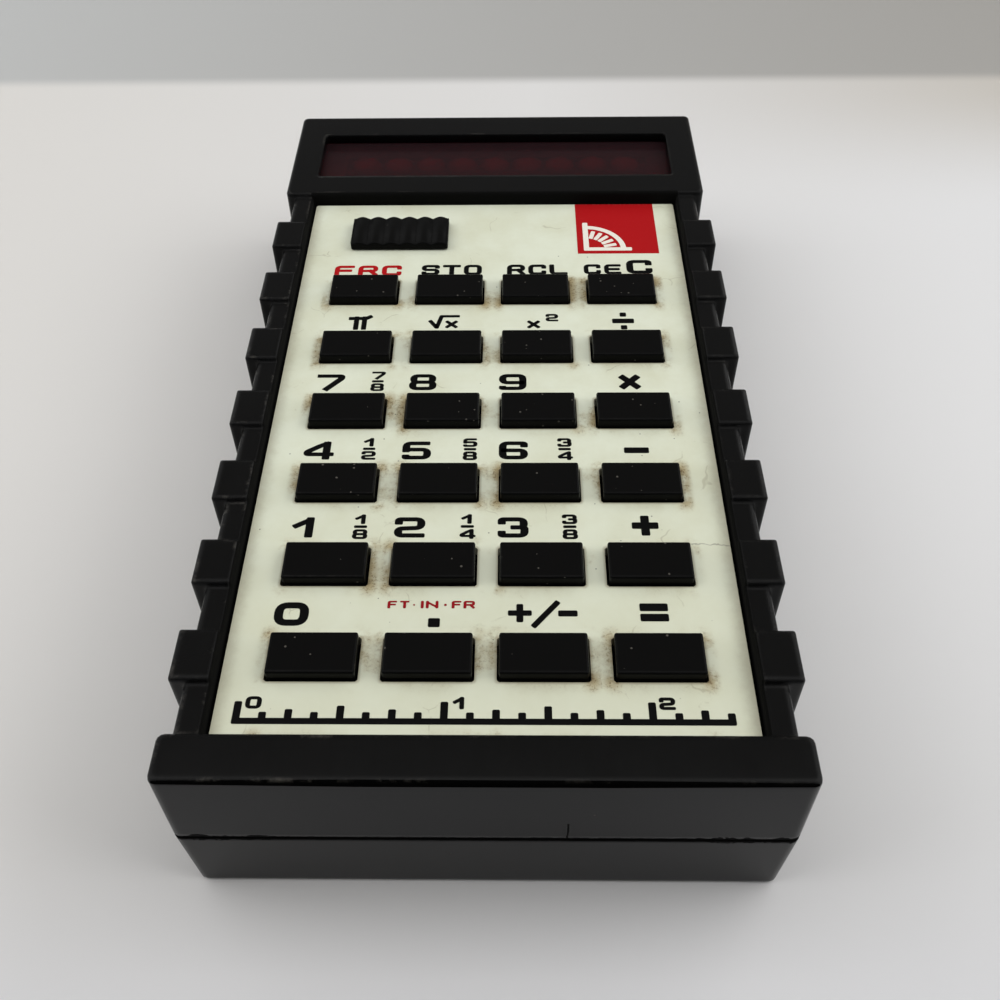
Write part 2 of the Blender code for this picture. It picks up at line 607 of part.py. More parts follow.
def build_screws(bench):
    """Self-tapping screws: a pan head with a cross slot, and a plain shank that ends in a point."""
    head_top = SCREW_SINK + SCREW_HEAD
    for index, (x, y) in enumerate(screw_places()):
        head = rod((x, y), SCREW_HEAD_RADIUS * 0.8, SCREW_SINK, head_top, top_radius=SCREW_HEAD_RADIUS)
        screw = bench.piece(f"case_screw_{index + 1}", head, "steel", origin=(x, y, head_top))
        tip = head_top + SCREW_LENGTH
        bench.add(screw, rod((x, y), SCREW_RADIUS, head_top - SCREW_HEAD / 3, tip, sides=12,
                             top_radius=SCREW_RADIUS * 0.6), "shank")
        arm, slot = SCREW_HEAD_RADIUS * 0.6, SCREW_RADIUS / 4
        for label, size in (("slot_a", (arm, slot)), ("slot_b", (slot, arm))):
            bench.cut(screw, box((x - size[0], y - size[1], 0),
                                 (x + size[0], y + size[1], SCREW_SINK + SCREW_HEAD / 2)), label)


# ---------------------------------------------------------------- panel, keys and switch
def build_key_panel(bench):
    half = RAIL_INNER - PANEL_SIDE_GAP
    mesh = box((-half, FRONT_BLOCK_REAR + CLEAR, PANEL_UNDER), (half, BLOCK_FRONT - CLEAR, PANEL_Z),
               upright=CLEAR, segments=1)
    panel = bench.piece("key_panel", mesh, "panel_ivory")
    holes = key_holes(KEY_CLEAR, PANEL_UNDER - DECK, PANEL_Z + DECK)
    holes.append(switch_slot(CLEAR, PANEL_UNDER - DECK, PANEL_Z + DECK))
    bench.cut(panel, gathered(holes), "key_openings")


def key_mesh():
    """Keycap about its own middle, with z as in the assembly: a cap with softened edges, a flange
    that stops it against the deck, and a square foot that presses the dome."""
    half_x, half_y = KEY_WIDTH / 2, KEY_DEPTH / 2
    foot = KEY_FOOT_WIDTH / 2
    bm = bmesh.new()
    low = Vector((-half_x - KEY_FLANGE, -half_y - KEY_FLANGE, FLANGE_UNDER))
    high = Vector((half_x + KEY_FLANGE, half_y + KEY_FLANGE, FLANGE_TOP))
    place = Matrix.Translation((low + high) / 2) @ Matrix.Diagonal((*(high - low), 1.0))
    bmesh.ops.create_cube(bm, size=1.0, matrix=place)
    steps = (
        (1, half_x, half_y, PANEL_Z + KEY_STAND),
        (-1, foot, foot, FOOT_Z),
    )
    for way, x, y, end in steps:
        face = max(bm.faces, key=lambda f: way * f.calc_center_median().z)
        bmesh.ops.inset_individual(bm, faces=[face], thickness=KEY_FLANGE / 2)
        for vert in face.verts:
            vert.co.x = math.copysign(x, vert.co.x)
            vert.co.y = math.copysign(y, vert.co.y)
        grown = bmesh.ops.extrude_discrete_faces(bm, faces=[face])["faces"][0]
        for vert in grown.verts:
            vert.co.z = end
    crown = edges_at(bm, PANEL_Z + KEY_STAND)
    cap_sides = [e for e in upright_edges(bm) if max(v.co.z for v in e.verts) > PANEL_Z]
    bevel_edges(bm, crown + cap_sides, KEY_EDGE, 2)
    return new_mesh(bm, "keycap")


def build_keys(bench):
    """Twenty-four keys that share one mesh, each with its origin on the line it travels along."""
    mesh = key_mesh()
    mesh.transform(Matrix.Translation((0, 0, -PANEL_Z)))
    mesh.materials.append(bench.materials["key_black"])
    mesh.shade_smooth()
    mesh.set_sharp_from_angle(angle=math.radians(35))
    for name, x, y in key_places():
        key = bpy.data.objects.new(name, mesh)
        key.location = (x, y, PANEL_Z)
        bench.parts.objects.link(key)


def slider_profile():
    """Side-to-side outline of the slider: a zigzag of rounded crests above a flat base."""
    base = PANEL_Z + CLEAR
    crest = PANEL_Z + SWITCH_HEIGHT
    valley = crest - SWITCH_RIB_DEPTH
    pitch = SWITCH_WIDTH / SWITCH_RIBS
    points = [(SWITCH_WIDTH / 2, base)]
    for index in range(SWITCH_RIBS):
        middle = SWITCH_WIDTH / 2 - (index + 0.5) * pitch
        points.append((middle + pitch / 2 - pitch / 20, valley))
        points.append((middle + pitch / 8, crest))
        points.append((middle - pitch / 8, crest))
        points.append((middle - pitch / 2 + pitch / 20, valley))
    points.append((-SWITCH_WIDTH / 2, base))
    return [(x, z) for x, z in reversed(points)]


def build_power_switch(bench):
    half_y = SWITCH_DEPTH / 2
    cap = along_y(flat_outline(slider_profile(), SWITCH_DEPTH), SWITCH_Y - half_y, SWITCH_Y + half_y)
    cap.transform(Matrix.Translation((SWITCH_X, 0, 0)))
    slider = bench.piece("switch_slider", cap, "key_black", origin=(SWITCH_X, SWITCH_Y, PANEL_Z))
    stem_x, stem_y = SWITCH_STEM_X / 2, SWITCH_STEM_Y / 2
    stem_end = FLANGE_TOP - SWITCH_BODY_SLOT + CLEAR
    bench.add(slider, box((SWITCH_X - stem_x, SWITCH_Y - stem_y, stem_end),
                          (SWITCH_X + stem_x, SWITCH_Y + stem_y, PANEL_Z + SWITCH_HEIGHT / 2)), "stem")

    half_x, half_y = SWITCH_BODY_X / 2, SWITCH_BODY_Y / 2
    body = bench.piece("switch_body", box((SWITCH_MIDDLE - half_x, SWITCH_Y - half_y, BOARD_TOP + CLEAR),
                                          (SWITCH_MIDDLE + half_x, SWITCH_Y + half_y, FLANGE_TOP),
                                          upright=EDGE_RADIUS), "steel")
    bench.cut(body, switch_slot(CLEAR, FLANGE_TOP - SWITCH_BODY_SLOT, TOP_Z), "stem_slot")


# ---------------------------------------------------------------- display
def build_display(bench):
    half_x = WINDOW_OPENING_X / 2 + WINDOW_LAP
    front, rear = WINDOW_FRONT - WINDOW_LAP, WINDOW_FRONT + WINDOW_OPENING_Y + WINDOW_LAP
    bench.piece("display_window", box((-half_x, front, WINDOW_UNDER), (half_x, rear, WINDOW_TOP),
                                      upright=EDGE_RADIUS), "window_red")

    # One magnifying bubble for each digit on a clear bar
    length = (DIGITS + 0.3) * DIGIT_PITCH
    base_top = LENS_UNDER + LENS_BASE
    bar = bench.piece("display_lens", box((-length / 2, LENS_Y - LENS_DEPTH / 2, LENS_UNDER),
                                          (length / 2, LENS_Y + LENS_DEPTH / 2, base_top)), "lens_clear")
    bubbles = []
    for index in range(DIGITS):
        x = (index - (DIGITS - 1) / 2) * DIGIT_PITCH
        bm = bmesh.new()
        bmesh.ops.create_uvsphere(bm, u_segments=12, v_segments=8, radius=1.0)
        scale = (DIGIT_PITCH * 0.46, LENS_DEPTH * 0.42, LENS_BULGE)
        bm.transform(Matrix.Translation((x, LENS_Y, base_top)) @ Matrix.Diagonal((*scale, 1.0)))
        bubbles.append(new_mesh(bm))
    bench.add(bar, gathered(bubbles), "bubbles")

    board_x = HALF_WIDTH - WALL - 2 * CLEAR
    bench.piece("display_board", box((-board_x, DISPLAY_BOARD_FRONT, DISPLAY_BOARD_UNDER),
                                     (board_x, DISPLAY_BOARD_FRONT + DISPLAY_BOARD_DEPTH, DISPLAY_BOARD_TOP)),
                "board_phenolic")


# ---------------------------------------------------------------- circuit
def build_main_board(bench):
    half_x = INNER_X - BOARD_SIDE_GAP
    board = bench.piece("main_board", box((-half_x, BOARD_FRONT, BOARD_UNDER),
                                          (half_x, BOARD_REAR, BOARD_TOP)), "board_phenolic")
    reach = POST_RADIUS + 2 * CLEAR
    notches = []
    for x, y in screw_places():
        side = math.copysign(1.0, x)
        x0, x1 = sorted((x - side * reach, side * HALF_WIDTH))
        notches.append(box((x0, y - reach, 0), (x1, y + reach, TOP_Z)))
    bench.cut(board, gathered(notches), "post_notches")


def build_contact_sheet(bench):
    """Thin sheet with a snap dome under each key."""
    places = list(key_places())
    reach = DOME_RADIUS + WALL
    half_x = places[-1][1] + reach
    sheet = bench.piece("contact_sheet", box((-half_x, places[0][2] - reach, SHEET_UNDER),
                                             (half_x, places[-1][2] + reach, SHEET_TOP)), "sheet_polyester")
    domes = [rod((x, y), DOME_RADIUS, SHEET_TOP - DOME_SHEET / 2, DOME_TOP, sides=12,
                 top_radius=DOME_RADIUS / 2) for _, x, y in places]
    bench.add(sheet, gathered(domes), "domes")


def build_chip(bench, name, y, width, legs):
    """Dual in-line package hung under the main board, with a row of legs down each long side."""
    length = legs * LEG_PITCH + CHIP_END
    top = BOARD_UNDER - CLEAR - CHIP_STANDOFF
    package = box((CHIP_X - width / 2, y - length / 2, top - CHIP_HEIGHT),
                  (CHIP_X + width / 2, y + length / 2, top), top=CLEAR, bottom=CLEAR, segments=1)
    chip = bench.piece(name, package, "chip_epoxy")
    rows = []
    for side in (-1, 1):
        edge = CHIP_X + side * width / 2
        x0, x1 = edge - LEG_THICKNESS / 2, edge + LEG_THICKNESS / 2
        for index in range(legs):
            leg_y = y + (index - (legs - 1) / 2) * LEG_PITCH
            rows.append(box((x0, leg_y - LEG_WIDTH / 2, top - CHIP_HEIGHT / 2),
                            (x1, leg_y + LEG_WIDTH / 2, BOARD_UNDER - CLEAR)))
    bench.add(chip, gathered(rows), "legs")


def build_capacitor(bench):
    """Electrolytic capacitor lying under the board, its rim rolled in at one end."""
    radius, half = CAPACITOR_RADIUS, CAPACITOR_LENGTH / 2
    rim = CAPACITOR_RIM - half
    shoulder = radius * 0.85
    profile = [(0, half), (shoulder, half), (radius, half - CLEAR),
               (radius, rim + CLEAR), (radius - CLEAR, rim), (radius, rim - CLEAR),
               (radius, CLEAR - half), (shoulder, -half), (0, -half)]
    bm = bmesh.new()
    verts = [bm.verts.new((r, 0, h)) for r, h in profile]
    edges = [bm.edges.new(pair) for pair in zip(verts, verts[1:])]
    bmesh.ops.spin(bm, geom=verts + edges, cent=(0, 0, 0), axis=(0, 0, 1), angle=2 * math.pi, steps=16,
                   use_merge=True)
    bmesh.ops.remove_doubles(bm, verts=bm.verts, dist=1e-6)
    bmesh.ops.recalc_face_normals(bm, faces=bm.faces)
    y = BOARD_FRONT + CAPACITOR_FROM_FRONT
    place = Matrix.Translation((CAPACITOR_X, y, BOARD_UNDER - CLEAR - radius))
    bench.piece("supply_capacitor", turned(new_mesh(bm), place @ Matrix.Rotation(math.pi / 2, 4, "X")),
                "capacitor_sleeve")


def smoothstep(t):
    t = min(max(t, 0.0), 1.0)
    return t * t * (3 - 2 * t)


def build_display_ribbon(bench):
    """Flat cable from the top of the main board up to the display board, in one gentle S."""
    start, end = BOARD_REAR - RIBBON_BEND_BEFORE, DISPLAY_BOARD_FRONT
    low, high = BOARD_TOP + CLEAR, DISPLAY_BOARD_TOP + CLEAR
    first, last = start - RIBBON_LAP, end + RIBBON_FAR_LAP
    steps = 14
    upper, lower = [], []
    for index in range(steps + 1):
        y = first + (last - first) * index / steps
        z = low + (high - low) * smoothstep((y - start) / (end - start))
        lower.append((y, z))
        upper.append((y, z + RIBBON_THICKNESS))
    mesh = flat_outline(lower + upper[::-1], RIBBON_WIDTH)
    stand = Matrix(((0, 0, 1, 0), (1, 0, 0, 0), (0, 1, 0, 0), (0, 0, 0, 1)))
    right = LEADS_X - (LEAD_SPACING + LEAD_DIAMETER) / 2 - RIBBON_TO_LEADS
    mesh.transform(Matrix.Translation((right - RIBBON_WIDTH / 2, 0, 0)) @ stand)
    bench.piece("display_ribbon", mesh, "ribbon_grey")


# ---------------------------------------------------------------- battery
def build_battery(bench):
    mesh = box((BATTERY_LEFT, BATTERY_REAR - BATTERY_WIDTH, BATTERY_UNDER),
               (BATTERY_RIGHT, BATTERY_REAR, BATTERY_TOP), top=2 * EDGE_RADIUS, bottom=2 * EDGE_RADIUS)
    battery = bench.piece("battery", mesh, "battery_jacket")
    terminals = []
    for side in (-1, 1):
        lying = Matrix.Translation((BATTERY_RIGHT, BATTERY_Y + side * TERMINAL_SPACING / 2, BATTERY_Z)) \
            @ Matrix.Rotation(math.pi / 2, 4, "Y")
        terminals.append(turned(rod((0, 0), TERMINAL_RADIUS, -WALL, TERMINAL_HEIGHT), lying))
    bench.add(battery, gathered(terminals), "terminals")

    # Snap connector with a socket over each terminal
    face = BATTERY_RIGHT + CLEAR
    snap = bench.piece("battery_snap", box((face, BATTERY_Y - SNAP_WIDTH / 2, BATTERY_Z - SNAP_HEIGHT / 2),
                                           (face + SNAP_THICKNESS, BATTERY_Y + SNAP_WIDTH / 2,
                                            BATTERY_Z + SNAP_HEIGHT / 2)), "snap_vinyl")
    sockets = []
    for side in (-1, 1):
        lying = Matrix.Translation((BATTERY_RIGHT, BATTERY_Y + side * TERMINAL_SPACING / 2, BATTERY_Z)) \
            @ Matrix.Rotation(math.pi / 2, 4, "Y")
        sockets.append(turned(rod((0, 0), TERMINAL_RADIUS + CLEAR, -WALL, TERMINAL_HEIGHT + CLEAR), lying))
    bench.cut(snap, gathered(sockets), "sockets")


def smooth_route(points, steps):
    """Catmull-Rom curve through the points, steps places for each stretch."""
    padded = [points[0] * 2 - points[1], *points, points[-1] * 2 - points[-2]]
    route = []
    for index in range(len(points) - 1):
        p0, p1, p2, p3 = padded[index:index + 4]
        for step in range(steps):
            t = step / steps
            route.append(0.5 * (2 * p1 + (p2 - p0) * t + (2 * p0 - 5 * p1 + 4 * p2 - p3) * t ** 2
                                + (3 * p1 - p0 - 3 * p2 + p3) * t ** 3))
    route.append(points[-1])
    return route


def build_leads(bench):
    """Two leads from the top of the snap connector to the rear edge of the main board."""
    snap_top = BATTERY_Z + SNAP_HEIGHT / 2 + CLEAR
    ceiling = DISPLAY_BOARD_UNDER - CLEAR - LEAD_DIAMETER / 2
    on_board = BOARD_TOP + CLEAR + LEAD_DIAMETER / 2
    start_y = DISPLAY_BOARD_FRONT + LEAD_START
    for name, shift in (("lead_red", -0.5), ("lead_black", 0.5)):
        x = LEADS_X + shift * LEAD_SPACING
        stops = ((start_y, snap_top), (start_y - LEAD_BEND / 6, (snap_top + ceiling) / 2),
                 (start_y - LEAD_BEND, ceiling), (start_y - 3 * LEAD_BEND, ceiling),
                 (BOARD_REAR, on_board), (BOARD_REAR - LEAD_LAP, on_board))
        route = [Vector((x, y, z)) for y, z in stops]
        bench.piece(name, tube(smooth_route(route, 3), LEAD_DIAMETER), name)


def main():
    bench = Bench()
    build_upper_case(bench)
    build_lower_case(bench)
    build_battery_door(bench)
    build_screws(bench)
    build_key_panel(bench)
    build_keys(bench)
    build_power_switch(bench)
    build_display(bench)
    build_main_board(bench)
    build_contact_sheet(bench)
    build_chip(bench, "calculator_chip", BOARD_MIDDLE - CHIP_BEFORE_MIDDLE, CHIP_WIDTH, CHIP_LEG_COUNT)
    build_chip(bench, "driver_chip", BOARD_REAR - DRIVER_FROM_REAR, DRIVER_WIDTH, DRIVER_LEG_COUNT)
    build_capacitor(bench)
    build_display_ribbon(bench)
    build_battery(bench)
    build_leads(bench)


main()
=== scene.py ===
# %% [markdown]
# # A pocket calculator with a red window
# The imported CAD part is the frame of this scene: every key, shell and screw is already in its place.
# This lesson dresses it. It prints the legends, grows a few finer pieces on top, and gives each
# surface the finish that its real material has.
# The first cell has to load the frame, because every later place is read from it.

# %% Load the frame
import functools
import itertools
import math

import bmesh
import bpy
import numpy as np
from mathutils import Matrix, Vector


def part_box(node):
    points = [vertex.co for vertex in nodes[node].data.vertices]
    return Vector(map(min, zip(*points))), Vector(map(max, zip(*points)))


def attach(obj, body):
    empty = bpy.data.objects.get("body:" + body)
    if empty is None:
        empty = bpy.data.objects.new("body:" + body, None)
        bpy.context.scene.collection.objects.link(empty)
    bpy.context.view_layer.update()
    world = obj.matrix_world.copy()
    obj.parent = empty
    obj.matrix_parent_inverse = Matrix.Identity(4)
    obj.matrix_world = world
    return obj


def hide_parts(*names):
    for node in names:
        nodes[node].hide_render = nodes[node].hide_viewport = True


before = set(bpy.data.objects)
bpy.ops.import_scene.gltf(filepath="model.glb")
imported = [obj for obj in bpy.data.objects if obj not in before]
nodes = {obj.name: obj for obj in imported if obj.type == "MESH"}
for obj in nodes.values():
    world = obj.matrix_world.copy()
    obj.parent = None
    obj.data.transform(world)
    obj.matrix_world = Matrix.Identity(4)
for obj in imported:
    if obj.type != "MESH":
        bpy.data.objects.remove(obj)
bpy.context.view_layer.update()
MM = 0.001

# %% [markdown]
# ## The camera
# The calculator is seen from in front and above, a hand's span away, so the front edge looks
# wider than the display. A camera could be aimed with a Track To constraint, but a matrix built from
# three turns says exactly how it is held: it turns about the upright, tips down, then leans a little
# about its own line of sight.

# %% Camera
YAW, TIP, LEAN = (math.radians(a) for a in (-1.6067, 48.230, -1.2021))
CAMERA_PLACE = (3.335 * MM, -135.055 * MM, 144.186 * MM)


def put_in_scene(name, data):
    """A new object that shows these data: a mesh, a lamp or a camera."""
    made = bpy.data.objects.new(name, data)
    bpy.context.scene.collection.objects.link(made)
    return made


def turn(angle):
    """Turns the first two axes: (x, y) becomes (x cos a - y sin a, x sin a + y cos a)."""
    c, s = math.cos(angle), math.sin(angle)
    return np.array(((c, -s, 0), (s, c, 0), (0, 0, 1)))


tipped = np.array(((1, 0, 0),
                   (0, -math.sin(TIP), -math.cos(TIP)),
                   (0, math.cos(TIP), -math.sin(TIP))))
right, down, ahead = turn(LEAN) @ tipped @ turn(YAW)
camera_data = bpy.data.cameras.new("camera")
camera_data.lens = 40.255
camera_data.shift_x = 0.00875
camera_data.shift_y = 0.0055
camera_data.clip_start = 10 * MM
camera = put_in_scene("camera", camera_data)
camera.matrix_world = Matrix.Translation(CAMERA_PLACE) @ Matrix(np.array((right, -down, -ahead)).T).to_4x4()
bpy.context.scene.camera = camera
print("camera is", round(math.dist(CAMERA_PLACE, (0, 0, 0)) / MM), "mm from the middle of the case")

# %% [markdown]
# ## Colours and nodes
# Paint charts and web pages write a colour as sRGB, which is bent to suit the eye, while a renderer
# adds up light and needs it straight. One function straightens a hex colour.

# %% Straight colour
def linear(colour):
    """Straight RGBA from sRGB hex. A channel c becomes c / 12.92 up to 0.04045, and ((c + 0.055) / 1.055)
    to the power 2.4 past it."""
    channels = np.array([int(colour[i:i + 2], 16) for i in (0, 2, 4)]) / 255
    bent = ((channels + 0.055) / 1.055) ** 2.4
    return (*np.where(channels <= 0.04045, channels / 12.92, bent).tolist(), 1.0)


print("mid grey as light:", round(linear("808080")[0], 3))

# %% [markdown]
# Every material below is a chain of calls to one function, which adds a shader node with its settings
# and links. Another uses it to mark a region, such as the walls of a pocket, by limits on place.

# %% Nodes
def set_up(node, settings):
    """Sets a node's properties and inputs, by name or number. An input that is given another node's
    output is linked to it."""
    for name, value in settings.items():
        if isinstance(value, bpy.types.NodeSocket):
            node.id_data.links.new(value, node.inputs[name])
        elif isinstance(name, str) and hasattr(node, name):
            setattr(node, name, value)
        else:
            node.inputs[name].default_value = value


def add_node(tree, kind, settings, output=0):
    """Adds a node with its settings and links, and returns one of its outputs, or a slice of them."""
    node = tree.nodes.new("ShaderNode" + kind)
    set_up(node, settings)
    return node.outputs[output]


def where(add, *limits):
    """Mask that is 1 where every limit holds and 0 elsewhere. A limit is an output, LESS_THAN or
    GREATER_THAN, and a number or a second output."""
    masks = [add("Math", {"operation": way, 0: output, 1: bound}) for output, way, bound in limits]
    whole = masks[0]
    for mask in masks[1:]:
        whole = add("Math", {"operation": "MULTIPLY", 0: whole, 1: mask})
    return whole


def new_material(name):
    """A material with a bare Principled shader. Returns it, its own `add`, which adds a node to it, the
    shader, and Object coordinates: metres in the frame, as every piece has its place in its mesh."""
    made = bpy.data.materials.new(name)
    made.use_nodes = True
    add = functools.partial(add_node, made.node_tree)
    return made, add, made.node_tree.nodes["Principled BSDF"], add("TexCoord", {}, output=3)


def per_mm(size):
    """Texture scale at which one cell of a pattern measures this many millimetres."""
    return 1 / (size * MM)


print("a pattern with cells of half a millimetre has scale", round(per_mm(0.5)))

# %% [markdown]
# ## Black moulded ABS
# The shells, the door, the keys and the slider are injection-moulded ABS, pigmented a deep black. The
# mould gives it a satin skin. Handling breaks that gloss up: wide greasy smears, and fine rubs that lie
# mostly one way, so the roughness is a pattern and not one number.

# %% Uneven gloss
SMEAR_MM, RUB_MM = 16, 0.5


def handled_gloss(add, place, roughness):
    """Roughness round a mean: wide smears, plus a share of fine rubs drawn out into streaks."""
    smears = add("TexNoise", {"Scale": per_mm(SMEAR_MM), "Detail": 4.0, "Roughness": 0.6, "Vector": place})
    streaks = add("Mapping", {"Rotation": (0, 0, 0.4), "Scale": (1.0, 0.08, 1.0), "Vector": place})
    rubs = add("TexNoise", {"Scale": per_mm(RUB_MM), "Detail": 3.0, "Vector": streaks})
    both = add("Math", {"operation": "MULTIPLY_ADD", 0: rubs, 1: 0.3, 2: smears})
    return add("MapRange", {"From Min": 0.35, "From Max": 0.95, "To Min": roughness * 0.75,
                            "To Max": roughness * 1.25, "Value": both})


print("smears are", SMEAR_MM, "mm apart and rubs", RUB_MM, "mm")

# %% [markdown]
# Dust settles on whatever looks up, as a thin even film with a speck here and there. Particles could be
# strewn, but at this size a speck is only a pale dot: the middle of a Voronoi cell.

# %% Dust
SPECK_RADIUS = 0.17


def settled_dust(add, place, upward, dust, dust_size):
    """Dust from 0 to 1: a film on what looks up, and a speck in the share `dust` of cells of this size
    in mm. The luckier a cell's own random number, the larger its speck."""
    cells, chosen = add("TexVoronoi", {"Scale": per_mm(dust_size), "Vector": place}, output=slice(2))
    lottery = add("SeparateColor", {"Color": chosen})
    rare = add("MapRange", {"From Min": 1 - dust, "From Max": 1.0, "To Max": SPECK_RADIUS / dust_size,
                            "Value": lottery})
    speck = add("Math", {"operation": "LESS_THAN", 0: cells, 1: rare})
    settled = add("MapRange", {"From Min": 0.3, "From Max": 0.9, "To Min": 0.2, "To Max": 0.30,
                               "Value": upward})
    film = add("MapRange", {"From Min": 0.9, "From Max": 1.0, "To Max": 0.005, "Value": upward})
    return add("Math", {"operation": "MULTIPLY_ADD", 0: speck, 1: settled, 2: film})


print("a speck is at most", 2 * SPECK_RADIUS, "mm wide")

# %% [markdown]
# Pockets and desks have worn the upper edges to a broken grey line, which is also a painted highlight:
# it lies where a rounded edge leans a little off the level and would mirror the light overhead, so
# directions find it and no edge has to be picked by hand.

# %% Worn edges
WEAR_HIGHLIGHT_FROM, WEAR_HIGHLIGHT_TO = 0.80, 0.995


def worn_edges(add, place, x, upward, wear_and_highlight):
    """Wear and painted highlight from 0 to 1: a band of directions just off the upright, which would mirror
    the light overhead, times scuff noise, and strongest at the left."""
    scuffs = add("TexNoise", {"Scale": per_mm(5.0), "Detail": 8.0, "Roughness": 0.75, "Vector": place})
    scuffed = add("MapRange", {"From Min": 0.53, "From Max": 0.68, "To Max": wear_and_highlight, "Value": scuffs})
    above = add("MapRange", {"From Min": WEAR_HIGHLIGHT_FROM, "From Max": WEAR_HIGHLIGHT_FROM + 0.10, "Value": upward})
    below = add("MapRange", {"From Min": WEAR_HIGHLIGHT_TO, "From Max": WEAR_HIGHLIGHT_TO - 0.025, "Value": upward})
    handled = add("MapRange", {"From Min": 0.0, "From Max": -26 * MM, "To Min": 0.3, "Value": x})
    # The band is wear and a painted highlight of the light overhead.
    worn = above
    for share in (below, scuffed, handled):
        worn = add("Math", {"operation": "MULTIPLY", 0: worn, 1: share})
    return worn


# The grey line is wear and a painted highlight.
leans = [round(math.degrees(math.acos(upward))) for upward in (WEAR_HIGHLIGHT_TO, WEAR_HIGHLIGHT_FROM)]
print("edges are worn where they lean from", leans[0], "to", leans[1], "degrees")

# %% [markdown]
# Lips that look forward are painted near-black, a painted reflection of the dark room in front of
# them. The front block's brow, its upper front edge, is rounded more than a Bevel node can round it, so
# a narrow band there is found by its place, shaded as if it leant forwards, and painted near-black too.

# %% Lips and brow
case_low, case_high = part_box("upper_case")
BROW_TOP, BROW_FRONT = 0.45 * MM, 0.90 * MM


def lips_and_brow(add, aside, y, z, forward, upward):
    """Two masks. The first is painted shade, near-black for the dark room that a lip or the brow would
    mirror. A lip is a rounded edge that looks forward, neither level nor straight up. The second is the
    brow: a band along the case's upper front edge, which narrows towards the corners."""
    wide = add("MapRange", {"From Min": 38 * MM, "From Max": 15 * MM, "To Min": 0.55, "Value": aside})
    ways_in = []
    for source, edge_at, reach in ((y, case_low.y, BROW_TOP), (z, case_high.z, -BROW_FRONT)):
        way_in = add("Math", {"operation": "SUBTRACT", 0: source, 1: edge_at})
        ways_in.append(add("Math", {"operation": "DIVIDE", 0: way_in, 1: reach}))
    brow = where(add, *((way_in, "LESS_THAN", wide) for way_in in ways_in))
    painted_lip_shade = add("MapRange", {"From Min": -0.32, "From Max": -0.45, "Value": forward})
    for least, most in ((0.02, 0.12), (0.93, 0.86)):
        inside = add("MapRange", {"From Min": least, "From Max": most, "Value": upward})
        painted_lip_shade = add("Math", {"operation": "MULTIPLY", 0: painted_lip_shade, 1: inside})
    return add("Math", {"operation": "MAXIMUM", 0: painted_lip_shade, 1: brow}), brow


print("the brow is", round(BROW_TOP / MM, 2), "mm deep and", round(BROW_FRONT / MM, 2), "mm tall")

# %% [markdown]
# The walls of the well round the panel are painted near-black, painted shade with grime in it, and grime
# fills the joint between the shells. The joint's lips are chipped, most at the corners, and one hairline
# crack climbs from it. Cutting chips into the mesh would take thousands of faces, so they are a ragged
# edge to the black.

# %% Well, joint and crack
panel_low, panel_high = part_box("key_panel")
panel_top = panel_high.z
WELL_GAP = 0.8 * MM
JOINT_LEVEL, JOINT_HALF = 13.9 * MM, 0.43 * MM
CHIP_MIDDLE, CHIP_SIDE, CHIP_CORNER = 0.10 * MM, 0.20 * MM, 0.55 * MM
CRACK_X, CRACK_HALF, CRACK_TALL = 10.35 * MM, 0.13 * MM, 4.2 * MM


def grimy_gaps(add, place, x, aside, y, z):
    """Mask of what is dull and blackened: the walls of the well that the panel lies in, painted shade with
    grime, the joint with its ragged edges, and the crack above it."""
    # The well's walls: painted shade, with grime.
    walls = where(add, (aside, "LESS_THAN", panel_high.x + WELL_GAP),
                  (y, "LESS_THAN", panel_high.y + WELL_GAP),
                  (y, "GREATER_THAN", panel_low.y - WELL_GAP / 2), (z, "GREATER_THAN", panel_low.z))
    ragged = add("TexNoise", {"Scale": per_mm(1.2), "Detail": 4.0, "Roughness": 0.7, "Vector": place})
    teeth = add("MapRange", {"From Min": 0.45, "From Max": 0.62, "Value": ragged})
    ends = add("MapRange", {"From Min": panel_low.y + 8 * MM, "From Max": panel_low.y, "To Min": CHIP_SIDE,
                            "To Max": CHIP_CORNER, "Value": y})
    chips = add("MapRange", {"From Min": 24 * MM, "From Max": 30 * MM, "To Min": CHIP_MIDDLE,
                             "Value": aside, "To Max": ends})
    frayed = add("Math", {"operation": "MULTIPLY_ADD", 0: teeth, 1: chips, 2: JOINT_HALF})
    level = add("Math", {"operation": "SUBTRACT", 0: z, 1: JOINT_LEVEL})
    level = add("Math", {"operation": "ABSOLUTE", 0: level})
    joint = add("Math", {"operation": "LESS_THAN", 0: level, 1: frayed})
    bends = add("Math", {"operation": "MULTIPLY_ADD", 0: ragged, 1: 0.5 * MM, 2: -CRACK_X})
    across = add("Math", {"operation": "ADD", 0: x, 1: bends})
    across = add("Math", {"operation": "ABSOLUTE", 0: across})
    crack = where(add, (across, "LESS_THAN", CRACK_HALF), (y, "LESS_THAN", panel_low.y),
                  (z, "GREATER_THAN", JOINT_LEVEL), (z, "LESS_THAN", JOINT_LEVEL + CRACK_TALL))
    sunk = walls
    for more in (joint, crack):
        sunk = add("Math", {"operation": "MAXIMUM", 0: sunk, 1: more})
    return sunk


print("the joint lies", round(JOINT_LEVEL / MM, 1), "mm above the table")
